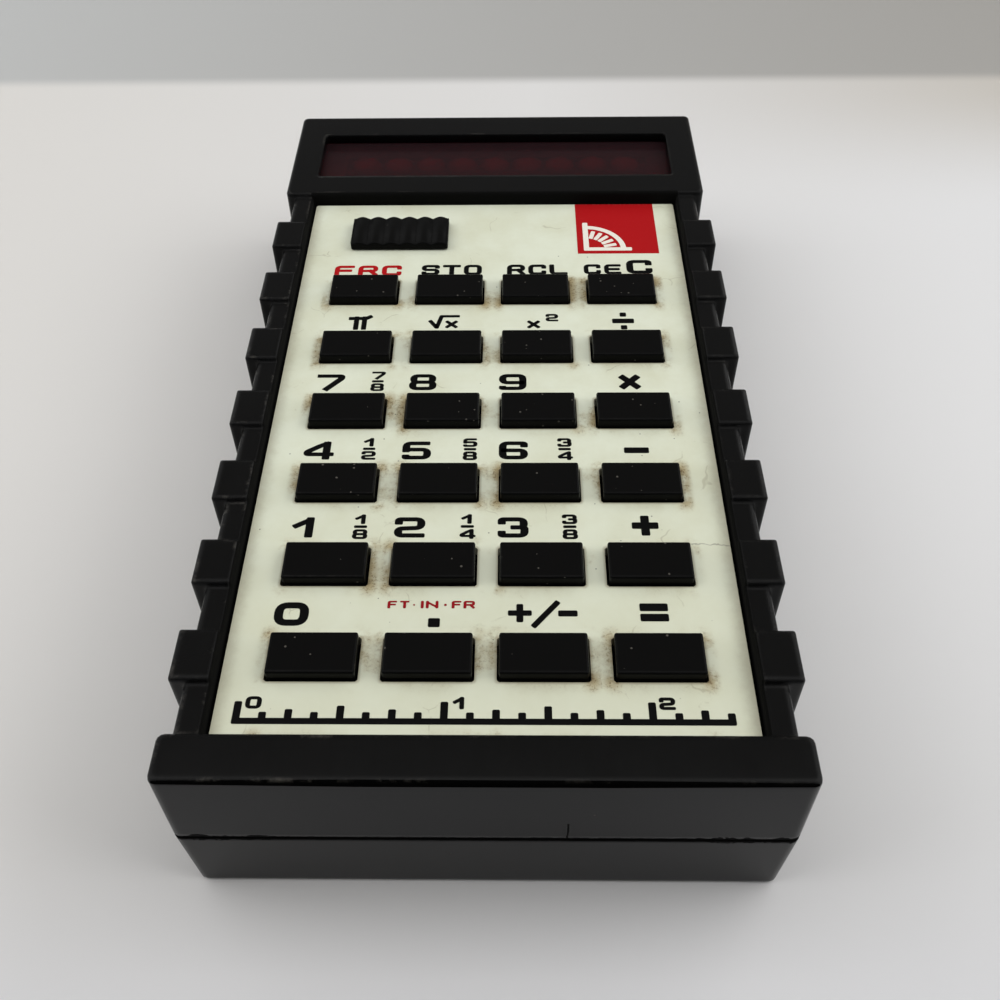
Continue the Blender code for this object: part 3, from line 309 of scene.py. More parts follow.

# %% [markdown]
# No edge of a moulding is truly sharp: a Bevel node rounds the shading over most of a millimetre, which
# costs no geometry, and the same rounded direction drives the dust, the wear with its painted highlight
# and the lips' painted shade. The mould's grain is finer than a tenth of a millimetre and is drawn four
# times as coarse, or it wouldn't show. ABS has an index of about 1.5, but old, handled plastic mirrors
# less than that says.

# %% Black plastics
def moulded_black(name, colour, roughness, shine, rounding, wear_and_highlight, dust, dust_size, well=0.0):
    """Black moulded plastic: gloss, dust, wear with a painted highlight, and grain as the bump. `well` is 1
    for the shells, which alone have the lips and brow painted near-black as painted shade, the gaps with
    their grime and painted shade, and the brow, which is also shaded as if it leant forwards."""
    made, add, shader, place = new_material(name)
    x, y, z = add("SeparateXYZ", {"Vector": place}, output=slice(3))
    aside = add("Math", {"operation": "ABSOLUTE", 0: x})
    rounded = add("Bevel", {"samples": 6, "Radius": rounding * MM})
    forward, upward = add("SeparateXYZ", {"Vector": rounded}, output=slice(1, 3))
    spread = handled_gloss(add, place, roughness)
    dusty = settled_dust(add, place, upward, dust, dust_size)
    worn = worn_edges(add, place, x, upward, wear_and_highlight)
    # Pale is dust, plus the worn edges with their painted highlight.
    dust_wear_and_highlight = add("Math", {"operation": "ADD", "use_clamp": True, 0: dusty, 1: worn})
    masks = [*lips_and_brow(add, aside, y, z, forward, upward), grimy_gaps(add, place, x, aside, y, z)]
    painted_lip_shade, brow, sunk = (add("Math", {"operation": "MULTIPLY", 0: mask, 1: well}) for mask in masks)

    tint = linear(colour)
    # Painted light and shade in the tint: lips and brow are painted near-black, a painted reflection; the
    # pale share is dust, wear and a painted highlight; sunk is grime, with painted shade on the well's
    # walls.
    for share, shade in ((painted_lip_shade, "030303"), (dust_wear_and_highlight, "8C877E"), (sunk, "050504")):
        tint = add("Mix", {"data_type": "RGBA", 0: share, 6: tint, 7: linear(shade)}, output=2)
    spread = add("Mix", {"data_type": "FLOAT", 0: sunk, 2: spread, 3: 1.0})
    pores = add("TexNoise", {"Scale": per_mm(0.4), "Detail": 2.0, "Vector": place})
    turned = add("Mix", {"data_type": "VECTOR", 0: brow, 4: rounded, 5: (0, -0.57, 0.82)}, output=1)
    bump = add("Bump", {"Strength": 0.10, "Distance": 0.02 * MM, "Height": pores, "Normal": turned})
    set_up(shader, {"Base Color": tint, "Roughness": spread, "Normal": bump, "IOR": 1.5,
                    "Specular IOR Level": shine})
    return made


case_plastic = moulded_black("black_abs_satin", "0A0A0A", roughness=0.20, shine=0.13, rounding=0.95,
                             wear_and_highlight=0.32, dust=0.10, dust_size=2.2, well=1.0)
key_plastic = moulded_black("black_abs_keys", "0B0B0B", roughness=0.16, shine=0.04, rounding=0.22,
                            wear_and_highlight=0.05, dust=0.42, dust_size=1.15)
slider_plastic = moulded_black("black_abs_slider", "0D0D0D", roughness=0.34, shine=0.035, rounding=0.22,
                               wear_and_highlight=0.0, dust=0.10, dust_size=1.6)
print("black plastics:", case_plastic.name, key_plastic.name, slider_plastic.name)

# %% [markdown]
# ## The ivory panel
# The panel is moulded ABS again, sprayed with an ivory lacquer. Fingers have left a brown bloom beside
# the short ends of each key, and along the side edges a grey band is grime and painted shade. The bloom
# could be painted on by hand, but then it wouldn't follow the keys, so where they are is read from the
# frame.

# %% Where the keys are
key_boxes = [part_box(name) for name in nodes if name.startswith("key_") and name != "key_panel"]
rows = sorted({round(low.y + high.y, 6) / 2 for low, high in key_boxes})
columns = sorted({round(low.x + high.x, 6) / 2 for low, high in key_boxes})
KEY_PITCH_X = columns[1] - columns[0]
KEY_PITCH_Y = rows[1] - rows[0]
KEY_HALF_X, KEY_HALF_Y = 5.63 * MM, 3.1 * MM
print(len(columns), "columns", round(KEY_PITCH_X / MM, 2), "mm apart,", len(rows), "rows",
      round(KEY_PITCH_Y / MM, 2))

# %% [markdown]
# The keys stand on a lattice, so wrapping x and y by the pitch of the keys gives the distance to the
# nearest key anywhere on the panel.

# %% Distance to the nearest key
SMOOTH = {"interpolation_type": "SMOOTHSTEP"}


def to_nearest_key(add, x, side, y):
    """How far it is to a key, how far past its short side, and a mask that is 1 only where there are
    keys. The distance is sqrt(max(|x| - a, 0)^2 + max(|y| - b, 0)^2), with x and y wrapped by the pitch
    and a, b half a key."""
    past, squares = [], []
    for source, middle, pitch, half in ((x, columns[0], KEY_PITCH_X, KEY_HALF_X),
                                        (y, rows[0], KEY_PITCH_Y, KEY_HALF_Y)):
        wrapped = add("Math", {"operation": "WRAP", 0: source, 1: middle + pitch / 2,
                               2: middle - pitch / 2})
        shifted = add("Math", {"operation": "SUBTRACT", 0: wrapped, 1: middle})
        size = add("Math", {"operation": "ABSOLUTE", 0: shifted})
        past.append(add("Math", {"operation": "SUBTRACT", 0: size, 1: half}))
        outside = add("Math", {"operation": "MAXIMUM", 0: past[-1], 1: 0.0})
        squares.append(add("Math", {"operation": "POWER", 0: outside, 1: 2.0}))
    squared = add("Math", {"operation": "ADD", 0: squares[0], 1: squares[1]})
    apart = add("Math", {"operation": "SQRT", 0: squared})
    lattice = add("MapRange", {**SMOOTH, "From Min": columns[-1] + 7.6 * MM,
                               "From Max": columns[-1] + 6.9 * MM, "Value": side})
    on_keys = add("MapRange", {"From Min": rows[-1] + 5 * MM, "From Max": rows[-1] + 4 * MM, "Value": y})
    lattice = add("Math", {"operation": "MULTIPLY", 0: lattice, 1: on_keys})
    return apart, past[0], lattice


print("a key measures", round(2 * KEY_HALF_X / MM, 1), "x", round(2 * KEY_HALF_Y / MM, 1), "mm")

# %% [markdown]
# The bloom is what fingertips push off the keys. It fades within two or three millimetres, lies in
# patches with darker grains in them, and a thin dark rim, painted shade where the panel meets the key,
# goes right round each key.

# %% Finger grime
GRIME_REACH = 2.6 * MM


def finger_grime(add, place, clouds, apart, beyond, lattice):
    """Masks of the bloom, of the grains in it and of the rim, which is painted shade round the foot of each
    key. The bloom is strongest beside the short ends of a key."""
    near = add("MapRange", {**SMOOTH, "From Min": GRIME_REACH, "From Max": 0.2 * MM, "Value": apart})
    beside = add("MapRange", {**SMOOTH, "From Min": -1.2 * MM, "From Max": 0.8 * MM, "To Min": 0.15,
                              "Value": beyond})
    patchy = add("MapRange", {**SMOOTH, "From Min": 0.45, "From Max": 0.61, "Value": clouds})
    grime = near
    for share in (lattice, beside, patchy):
        grime = add("Math", {"operation": "MULTIPLY", 0: grime, 1: share})
    pepper = add("TexNoise", {"Scale": per_mm(0.35), "Detail": 3.0, "Roughness": 0.7, "Vector": place})
    grains = add("MapRange", {"From Min": 0.52, "From Max": 0.62, "Value": pepper})
    grit = add("Math", {"operation": "MULTIPLY", 0: grime, 1: grains})
    # The rim is painted shade round the foot of each key.
    rim = add("MapRange", {**SMOOTH, "From Min": 0.75 * MM, "From Max": 0.25 * MM, "To Max": 0.5,
                           "Value": apart})
    rim = add("Math", {"operation": "MULTIPLY", 0: rim, 1: lattice})
    return grime, grit, rim


print("grime reaches", round(GRIME_REACH / MM, 1), "mm from a key")

# %% [markdown]
# Small flaws are strewn over the lacquer: flecks of ink, fine hairs that lie in groups, and one crack
# that runs in from the right edge. Voronoi cells give the first two, with their middles and their edges.

# %% Flecks, hairs and a crack
LACQUER_CRACK_Y, LACQUER_CRACK_LEFT = -35.3 * MM, 27.3 * MM


def small_flaws(add, place, x, y, clouds):
    """Masks of the flecks, of the hairs, which are cell edges bent by noise, and of the crack, which is a
    thin band round a line that wanders."""
    cells = add("TexVoronoi", {"Scale": per_mm(3.2), "Vector": place})
    fleck = add("MapRange", {"From Min": 0.040, "From Max": 0.028, "To Max": 0.75, "Value": cells})
    bent = add("TexNoise", {"Scale": per_mm(6), "Detail": 2.0, "Vector": place}, output=1)
    bent = add("VectorMath", {"operation": "SCALE", "Scale": 6 * MM, 0: bent})
    bent = add("VectorMath", {"operation": "ADD", 0: bent, 1: place})
    hairs = add("TexVoronoi", {"feature": "DISTANCE_TO_EDGE", "Scale": per_mm(11), "Vector": bent})
    hair = add("MapRange", {"From Min": 0.010, "From Max": 0.004, "To Max": 0.32, "Value": hairs})
    seldom = add("MapRange", {"From Min": 0.57, "From Max": 0.62, "Value": clouds})
    hair = add("Math", {"operation": "MULTIPLY", 0: hair, 1: seldom})

    wander = add("TexNoise", {"Scale": per_mm(2.2), "Detail": 3.0, "Vector": place})
    line = add("Math", {"operation": "MULTIPLY_ADD", 0: wander, 1: 2.2 * MM, 2: -LACQUER_CRACK_Y})
    gap = add("Math", {"operation": "ADD", 0: y, 1: line})
    gap = add("Math", {"operation": "ABSOLUTE", 0: gap})
    crack = add("MapRange", {"From Min": 0.10 * MM, "From Max": 0.04 * MM, "To Max": 0.55, "Value": gap})
    far_right = add("MapRange", {"From Min": LACQUER_CRACK_LEFT, "From Max": LACQUER_CRACK_LEFT + 0.7 * MM,
                                 "Value": x})
    crack = add("Math", {"operation": "MULTIPLY", 0: crack, 1: far_right})
    return fleck, hair, crack


print("the crack starts", round(LACQUER_CRACK_LEFT / MM, 1), "mm right of the middle")

# %% [markdown]
# The lacquer lays all of these over its own colour, one after another, with stains from slow noise, a
# front half that is yellowed and darker, yellowing with painted shade, and a grey band of grime and
# painted shade along the side edges.

# %% Ivory lacquer
def ivory_lacquer():
    """Ivory lacquer: each mask mixes its own shade over what lies below."""
    made, add, shader, place = new_material("ivory_lacquer")
    x, y = add("SeparateXYZ", {"Vector": place}, output=slice(2))
    side = add("Math", {"operation": "ABSOLUTE", 0: x})
    clouds = add("TexNoise", {"Scale": per_mm(9), "Detail": 6.0, "Roughness": 0.62, "Vector": place})
    fine = add("TexNoise", {"Scale": per_mm(1.5), "Detail": 6.0, "Roughness": 0.75, "Vector": place})
    apart, beyond, lattice = to_nearest_key(add, x, side, y)
    grime, grit, rim = finger_grime(add, place, clouds, apart, beyond, lattice)
    fleck, hair, crack = small_flaws(add, place, x, y, clouds)

    wavy = add("Math", {"operation": "MULTIPLY_ADD", 0: fine, 1: 2.0 * MM, 2: -1.0 * MM})
    wavy = add("Math", {"operation": "ADD", 0: wavy, 1: side})
    # Along the side edges by the rails the panel is greyed: grime and painted shade.
    edge_grime_and_shade = add("MapRange", {**SMOOTH, "From Min": panel_high.x - 2.2 * MM,
                            "From Max": panel_high.x + 0.6 * MM, "To Max": 0.55, "Value": wavy})
    stain = add("MapRange", {"From Min": 0.38, "From Max": 0.70, "To Max": 0.7, "Value": clouds})
    # The front half is darker: yellowing, and painted shade towards the front.
    yellowed_and_shaded_front = add("MapRange", {"From Min": -10 * MM, "From Max": -60 * MM, "To Max": 0.5, "Value": y})
    tint = linear("DDE1CD")
    for share, shade in ((stain, "CECFB4"), (yellowed_and_shaded_front, "D3D4BA"), (edge_grime_and_shade, "A59D84"), (grime, "A39269"),
                         (grit, "66502A"), (rim, "7A6A48"), (hair, "8C8468"), (crack, "6E675A"),
                         (fleck, "2A2622")):
        tint = add("Mix", {"data_type": "RGBA", 0: share, 6: tint, 7: linear(shade)}, output=2)
    gloss = add("MapRange", {"From Min": 0.3, "From Max": 0.8, "To Min": 0.32, "To Max": 0.50,
                             "Value": fine})
    bump = add("Bump", {"Strength": 0.12, "Distance": 0.02 * MM, "Height": fine})
    set_up(shader, {"Base Color": tint, "Roughness": gloss, "Normal": bump})
    return made


panel_lacquer = ivory_lacquer()
print("panel lacquer has", len(panel_lacquer.node_tree.nodes), "nodes")

# %% [markdown]
# ## The red window and what lies under it
# The window is cast acrylic, dyed so deep a red that only red light gets through. Real transmission is
# used, because a painted dark red would hide the row of digit bubbles that shows faintly beneath. A
# grey-mauve veil of skin grease lies on the face; it is a weak sheen, because a veil mixed into the dye
# would tint the bubbles too. The bubbles are only ever seen red, so they are given that colour, and their
# crests are painted brighter, a painted highlight.

# %% Dyed acrylic
def dyed_acrylic(name, colour, roughness, index, through, bloom):
    """Light that goes through takes the dye's colour at each face. Bloom is the grey-mauve veil that
    skin grease and fine scratches lay over it, drawn as a weak sheen. Clean acrylic has index 1.49; a
    scuffed face mirrors less, so the window's is lower."""
    made, add, shader, place = new_material(name)
    haze = add("TexNoise", {"Scale": per_mm(5), "Detail": 4.0, "Vector": place})
    spread = add("MapRange", {"From Min": 0.3, "From Max": 0.7, "To Min": roughness,
                              "To Max": roughness * 2, "Value": haze})
    set_up(shader, {"Base Color": linear(colour), "Roughness": spread, "IOR": index,
                    "Transmission Weight": through, "Specular IOR Level": 0.10, "Sheen Weight": bloom,
                    "Sheen Roughness": 0.9, "Sheen Tint": linear("B9A9B4")})
    return made, add, shader, place


CREST_RED, TROUGH_RED = "9A3234", "401618"
window_acrylic, *_ = dyed_acrylic("dyed_red_acrylic", "8C1C22", roughness=0.12, index=1.18,
                                  through=0.975, bloom=0.046)
lens_acrylic, add, shader, place = dyed_acrylic("clear_digit_acrylic", CREST_RED, roughness=0.08,
                                                index=1.49, through=0.0, bloom=0.0)
lens_low, lens_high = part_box("display_lens")
height = add("SeparateXYZ", {"Vector": place}, output=2)
# The crests are painted brighter than the troughs: a painted highlight.
painted_crest_highlight = add("MapRange", {"From Min": lens_high.z - 0.9 * MM, "From Max": lens_high.z, "Value": height})
glow = add("Mix", {"data_type": "RGBA", 0: painted_crest_highlight, 6: linear(TROUGH_RED), 7: linear(CREST_RED)}, output=2)
set_up(shader, {"Base Color": glow})
print("acrylics:", window_acrylic.name, lens_acrylic.name)

# %% [markdown]
# ## What is inside
# The circuit is out of sight until the battery door is drawn, but it is finished too: phenolic board
# under green-brown resist, polyester sheet, epoxy chips, a vinyl sleeve on the capacitor, PVC on the
# leads, zinc-plated steel on the switch and the screws, and a printed tin jacket on the battery. One
# function covers them all, since only colour, grain and gloss differ.

# %% Plain finishes
def plain_finish(name, colour, second, mottle_mm, roughness, metallic=0.0, bump=0.1, stretch=(1, 1, 1)):
    """A finish whose colour wanders between two shades and whose gloss wanders with it. A metal's
    stretch draws the pattern out along one axis, as brushing does."""
    made, add, shader, place = new_material(name)
    lie = add("Mapping", {"Scale": stretch, "Vector": place})
    mottle = add("TexNoise", {"Scale": per_mm(mottle_mm), "Detail": 4.0, "Vector": lie})
    share = add("MapRange", {"From Min": 0.35, "From Max": 0.65, "Value": mottle})
    tint = add("Mix", {"data_type": "RGBA", 0: share, 6: linear(colour), 7: linear(second)}, output=2)
    gloss = add("MapRange", {"To Min": roughness * 0.8, "To Max": roughness * 1.2, "Value": mottle})
    rise = add("Bump", {"Strength": bump, "Distance": 0.02 * MM, "Height": mottle})
    set_up(shader, {"Base Color": tint, "Roughness": gloss, "Normal": rise, "Metallic": metallic})
    return made


finishes = {
    "case_black": case_plastic,
    "key_black": key_plastic,
    "panel_ivory": panel_lacquer,
    "window_red": window_acrylic,
    "lens_clear": lens_acrylic,
    "board_phenolic": plain_finish("phenolic_board", "6B5A2A", "7A6630", 2.0, 0.45),
    "sheet_polyester": plain_finish("polyester_film", "C9C8BA", "D6D5C9", 3.0, 0.30),
    "chip_epoxy": plain_finish("moulded_epoxy", "1B1B1C", "242425", 0.4, 0.50, bump=0.4),
    "steel": plain_finish("zinc_plated_steel", "B9B7AE", "A3A19A", 0.6, 0.32, metallic=1.0,
                          stretch=(1, 1, 0.1)),
    "battery_jacket": plain_finish("printed_tin_jacket", "23262E", "2B2F38", 4.0, 0.28),
    "snap_vinyl": plain_finish("soft_vinyl", "141414", "1C1C1C", 1.0, 0.55),
    "lead_red": plain_finish("red_pvc", "9E1418", "B01A1E", 1.0, 0.38),
    "lead_black": plain_finish("black_pvc", "121212", "1A1A1A", 1.0, 0.38),
    "capacitor_sleeve": plain_finish("blue_vinyl_sleeve", "1D3A6B", "234478", 1.5, 0.35),
    "ribbon_grey": plain_finish("grey_pvc_ribbon", "8C8E92", "9A9CA0", 1.2, 0.45, stretch=(4, 0.1, 1)),
}
slots = [slot for node in nodes.values() for slot in node.material_slots]
for slot in slots:
    slot.material = finishes.get(slot.material.name.split(".")[0], case_plastic)
print("finishes on the solids:", *sorted({slot.material.name for slot in slots}))

# %% [markdown]
# ## Printing the legends
# The legends are screen-printed in an extended sans. Blender's text objects could stand in, but their
# font is narrower and its bars are all one weight. Here each sign is written as a sign-writer would:
# a path, and a pen with an oval nib that makes upright bars heavier than level ones. The path's corners
# are turned first, as the lettering has no sharp bend.

# %% A path with round corners
def rounded_path(points, radius, closed, steps=6):
    """Path whose corners are turned by quadratic curves: a corner p becomes (1-t)^2 a + 2t(1-t) p + t^2 b,
    with a and b `radius` before and after it, or half a side where that is shorter."""
    p = np.asarray(points, float)
    back, ahead = np.roll(p, 1, axis=0) - p, np.roll(p, -1, axis=0) - p
    back_size, ahead_size = np.linalg.norm(back, axis=1), np.linalg.norm(ahead, axis=1)
    cut = np.minimum(radius, 0.499 * np.minimum(back_size, ahead_size))[:, None]
    a = p + back / back_size[:, None] * cut
    b = p + ahead / ahead_size[:, None] * cut
    t = np.linspace(0, 1, steps)[None, :, None]
    turned = (1 - t) ** 2 * a[:, None] + 2 * t * (1 - t) * p[:, None] + t ** 2 * b[:, None]
    if closed:
        return turned.reshape(-1, 2)
    return np.vstack((p[:1], turned[1:-1].reshape(-1, 2), p[-1:]))


print("a bend of 3 points becomes", len(rounded_path(((0, 0), (2, 0), (2, 2)), 1, False)), "points")

# %% [markdown]
# The nib then follows the path. The ink is a thin film with real thickness, so it catches light at its
# edges.

# %% One stroke of the pen
INK_RISE = 0.03 * MM
INK_SUNK = 0.02 * MM


def grid_faces(rings, count, closed=True, around=False):
    """Quads between neighbours in a grid of points numbered ring by ring. Each ring joins its last point
    to its first where `closed`, and the last ring joins the first where `around`."""
    i, j = np.meshgrid(np.arange(rings - 1 + around), np.arange(count - 1 + closed), indexing="ij")
    after, beside = (i + 1) % rings, (j + 1) % count
    corners = (i * count + j, i * count + beside, after * count + beside, after * count + j)
    return np.stack(corners, axis=-1).reshape(-1, 4)


def ink_stroke(points, pen, height, radius=0.0, ends="square"):
    """Film of ink along a path. The nib is an oval: where the path's normal is (nx, ny), the edges lie
    half of (pen x * nx, pen y * ny) to each side. The path closes on itself where `ends` is "ring". A
    "square" end runs on by half the nib, and its corners shrink by r - sqrt(r^2 - (r - d)^2) at a
    distance d from the end. A "butt" end stops where the path does."""
    nib = np.asarray(pen, float)
    ring = ends == "ring"
    path = rounded_path(points, max(radius, 0.02 * MM), ring)
    if ends == "square":
        out = [path[0] - path[1], path[-1] - path[-2]]
        out = [way / np.linalg.norm(way) for way in out]
        tips = [end + way * np.linalg.norm(nib * way) / 2 for end, way in zip((path[0], path[-1]), out)]
        soft = min(0.20 * MM, *(0.4 * np.linalg.norm(nib * way[::-1]) for way in out))
        d = np.array((0.0, 0.12, 0.45, 1.0)) * soft
        shrink = soft - np.sqrt(soft ** 2 - (soft - d) ** 2)
        first, last = [tip - way * d[:, None] for tip, way in zip(tips, out)]
        path = np.vstack((first, path[1:-1], last[::-1]))
    ahead = np.roll(path, -1, axis=0) - path
    back = path - np.roll(path, 1, axis=0)
    if not ring:
        ahead[-1], back[0] = ahead[-2], back[1]
    ahead = ahead / np.linalg.norm(ahead, axis=1)[:, None]
    back = back / np.linalg.norm(back, axis=1)[:, None]
    tangent = ahead + back
    tangent = tangent / np.linalg.norm(tangent, axis=1)[:, None]
    side = np.column_stack((-tangent[:, 1], tangent[:, 0])) * nib / 2
    if ends == "square":
        half = np.linalg.norm(side, axis=1)
        side[:4] *= (1 - shrink / half[:4])[:, None]
        side[-4:] *= (1 - shrink[::-1] / half[-4:])[:, None]
    left, right_side = path + side, path - side
    top, low = np.full(len(path), height + INK_RISE), np.full(len(path), height - INK_SUNK)
    rings = np.stack((np.column_stack((left, top)), np.column_stack((right_side, top)),
                      np.column_stack((right_side, low)), np.column_stack((left, low))), axis=1)
    faces = grid_faces(len(path), 4, around=ring)
    if not ring:
        cap = np.arange(4)
        faces = np.vstack((faces, cap[::-1], cap + len(path) * 4 - 4))
    return rings.reshape(-1, 3), faces[:, ::-1]


print("ink stands", round(INK_RISE / MM, 2), "mm above the panel")

# %% [markdown]
# All strokes of one colour make one mesh, as one pass of the screen prints them. A nib that turns sharply
# can fold a face over, so the directions of the faces are worked out again at the end.

# %% From points to a piece
def mesh_object(name, points, faces, material):
    """Mesh object at the origin, with its place in its mesh."""
    mesh = bpy.data.meshes.new(name)
    mesh.from_pydata(points.tolist(), [], [np.asarray(face).tolist() for face in faces])
    mesh.materials.append(material)
    return put_in_scene(name, mesh)


def piece_from(name, parts, material, body="case", smooth=False):
    """One mesh object from several (vertices, faces) pairs, riding on a body."""
    vertices, faces, first = [], [], 0
    for points, polygons in parts:
        vertices.append(points)
        faces.extend(np.asarray(polygon) + first for polygon in polygons)
        first += len(points)
    made = mesh_object(name, np.vstack(vertices), faces, material)
    mesh = made.data
    solid = bmesh.new()
    solid.from_mesh(mesh)
    bmesh.ops.recalc_face_normals(solid, faces=solid.faces)
    solid.to_mesh(mesh)
    solid.free()
    if smooth:
        mesh.shade_smooth()
        mesh.set_sharp_from_angle(angle=math.radians(40))
    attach(made, body)
    print(name, len(mesh.vertices), "vertices", len(mesh.polygons), "faces")
    return made


# %% [markdown]
# Each sign is drawn in a square from (0, 0) to (1, 1), which is then stretched to its size on the
# panel, as one, two or three strokes. A sign with a ring in it is made of closed paths only. The
# seven's ends are cut straight and get no more from the nib, so its path runs past the square.

# %% The signs
BOX = ((0, 0), (1, 0), (1, 1), (0, 1))
SIGNS = {
    "0": (BOX,),
    "1": (((0.10, 0.60), (0.54, 0.88)), ((0.68, 1), (0.68, 0))),
    "2": (((0, 0.80), (0, 1), (1, 1), (1, 0.47), (0, 0.42), (0, 0), (1, 0)),),
    "3": (((0, 0.81), (0, 1), (0.97, 1), (0.97, 0.5), (0.56, 0.5)),
          ((0.80, 0.5), (1, 0.5), (1, 0), (0, 0), (0, 0.16))),
    "4": (((0.86, 0.98), (0.62, 0.86), (0.0, 0.42), (0, 0.235), (1.07, 0.235)), ((0.89, 1), (0.89, 0))),
    "5": (((0.94, 1), (0, 1), (0, 0.50)), ((0.06, 0.56), (1, 0.56), (1, 0), (0, 0), (0, 0.08))),
    "6": (((1, 0.84), (1, 1), (0, 1), (0, 0), (1, 0), (1, 0.50), (0.1, 0.50)),),
    "7": (((-0.18, 1), (1.04, 1), (1.04, 0.80), (0.27, -0.13)),),
    "8": (((0, 0), (1, 0), (1, 0.5), (0, 0.5)), ((0.03, 0.5), (0.97, 0.5), (0.97, 1), (0.03, 1))),
    "9": (((0, 0.07), (0, 0), (1, 0), (1, 1), (0, 1), (0, 0.45), (0.9, 0.45)),),
    "plus": (((0, 0.5), (1, 0.5)), ((0.5, 0), (0.5, 1))),
    "bar": (((0, 0.5), (1, 0.5)),),
    "times": (((0, 0), (1, 1)), ((0, 1), (1, 0))),
    "slash": (((0, 0), (1, 1)),),
    "pi": (((0, 0.86), (0.8, 0.86), (1, 1)), ((0.30, 0.9), (0.30, 0)), ((0.72, 0.9), (0.72, 0))),
    "root": (((0, 0.55), (0.24, 0), (0.40, 1), (1, 1)),),
    "S": (((1, 0.84), (1, 1), (0, 1), (0, 0.52), (1, 0.52), (1, 0), (0, 0), (0, 0.16)),),
    "T": (((0, 1), (1, 1)), ((0.5, 1), (0.5, 0))),
    "O": (BOX,),
    "R": (((0, 0), (0, 1), (1, 1), (1, 0.46), (0.6, 0.46)), ((0.08, 0.46), (0.7, 0.46)),
          ((0.66, 0.46), (1, 0))),
    "C": (((1, 0.78), (1, 1), (0, 1), (0, 0), (1, 0), (1, 0.22)),),
    "L": (((0, 1), (0, 0), (1, 0)),),
    "E": (((1, 1), (0, 1), (0, 0), (1, 0)), ((0, 0.5), (0.9, 0.5))),
    "F": (((1, 1), (0, 1), (0, 0)), ((0, 0.5), (0.85, 0.5))),
    "I": (((0.5, 1), (0.5, 0)),),
    "N": (((0, 0), (0, 1)), ((0, 0.9), (1, 0.1)), ((1, 0), (1, 1))),
}
ENDS = {"0": "ring", "8": "ring", "O": "ring", "7": "butt"}
print(len(SIGNS), "signs")


# %% [markdown]
# A line of lettering sets signs side by side. Where it starts, how tall it is and how heavy the pen is
# are all in millimetres, as a print shop would note them.

# %% Lettering
strokes_laid = itertools.count()
STROKE_LIFT = 0.0002
THIN = 0.01


def lettering(signs, left, bottom, width, height, pen, gap=0.0, radius=0.0):
    """Ink films for a row of signs. Each fills a cell width x height, given in mm; `left` and `bottom`
    are the corner of the first. Each stroke lies a hair above the last, so that no two films share
    a face."""
    films = []
    for index, sign in enumerate(signs):
        corner = np.array((left + index * (width + gap) + pen[0] / 2, bottom + pen[1] / 2))
        reach = np.array((width - pen[0], height - pen[1]))
        for points in SIGNS[sign]:
            path = (corner + np.array(points) * reach) * MM
            level = panel_top + next(strokes_laid) * STROKE_LIFT * MM
            films.append(ink_stroke(path, np.array(pen) * MM, level, radius * MM, ENDS.get(sign, "square")))
    return films


def bar(left, bottom, width, height):
    """One level bar of ink that fills a cell, in mm, with soft corners."""
    return lettering(["bar"], left, bottom, width, height, (THIN, height))


print("each stroke lies", STROKE_LIFT, "mm above the last")

# %% [markdown]
# The figures stand behind their keys and start near the keys' left edges, each off by a few tenths as
# in artwork laid by hand. Small fractions stand at the right of most.

# %% Figures and fractions
DIGIT = {"width": 4.32, "height": 3.72, "pen": (1.15, 0.76), "radius": 0.80}
SMALL = {"width": 2.14, "height": 1.78, "pen": (0.62, 0.40), "radius": 0.42}
left_of = [(c - KEY_HALF_X) / MM for c in columns]
black = lettering("0", left_of[0] - 0.34, -50.27, 4.56, 3.80, (1.20, 1.0), radius=1.15)
for bottom, digits, nudges in ((-35.27, "123", (-0.23, -0.20, -0.36)),
                               (-20.20, "456", (-0.16, -0.08, -0.31)),
                               (-5.10, "789", (-0.02, 0.05, -0.40))):
    for column, digit in enumerate(digits):
        black += lettering(digit, left_of[column] + nudges[column], bottom, **DIGIT)

FRACTIONS = ((0, -35.55, "18", 8.6), (1, -35.50, "14", 8.95), (2, -35.55, "38", 8.65),
             (0, -20.25, "12", 8.5), (1, -20.35, "58", 8.95), (2, -20.35, "34", 8.4), (0, -5.28, "78", 8.6))
for column, bottom, (over, under), along in FRACTIONS:
    left = left_of[column] + along
    black += lettering(under, left, bottom, **SMALL)
    black += lettering(over, left, bottom + 2.75, **SMALL)
    black += bar(left + 0.13, bottom + 2.02, 1.85, 0.48)
print(len(black), "strokes in the figures")

# %% [markdown]
# The signs of arithmetic and the names of the memory keys are listed by sign, left, bottom, width and
# height, and how wide the pen is across and along. A bar has no pen of its own: its cell is as tall as
# the stroke.

# %% Signs and names
SINGLES = (
    ("plus", 20.02, -34.90, 3.70, 3.64, 1.20, 1.18),
    ("bar", 19.92, -18.93, 3.68, 1.16),
    ("times", 20.2, -4.86, 3.2, 3.14, 1.15, 1.05),
    ("bar", 19.95, 11.20, 3.62, 1.16), ("bar", 21.30, 12.92, 1.05, 1.05), ("bar", 21.30, 9.60, 1.05, 1.05),
    ("bar", 20.02, -47.82, 3.70, 1.24), ("bar", 20.02, -49.46, 3.70, 1.20),
    ("bar", -7.60, -50.44, 1.54, 1.42),
    ("plus", 2.78, -49.63, 3.12, 2.92, 0.90, 0.86),
    ("slash", 5.86, -50.50, 3.72, 4.32, 0.80, 0.80),
    ("bar", 9.34, -48.70, 2.54, 0.96),
    ("pi", -24.0, 9.7, 4.0, 3.75, 0.85, 0.80),
    ("root", -10.6, 9.9, 5.2, 3.55, 0.72, 0.60),
    ("times", -7.75, 10.1, 2.05, 1.85, 0.66, 0.56), ("times", 5.85, 10.0, 2.1, 1.9, 0.66, 0.56),
)
LABEL = {"width": 3.15, "height": 2.9, "pen": (0.85, 0.66), "radius": 0.7}
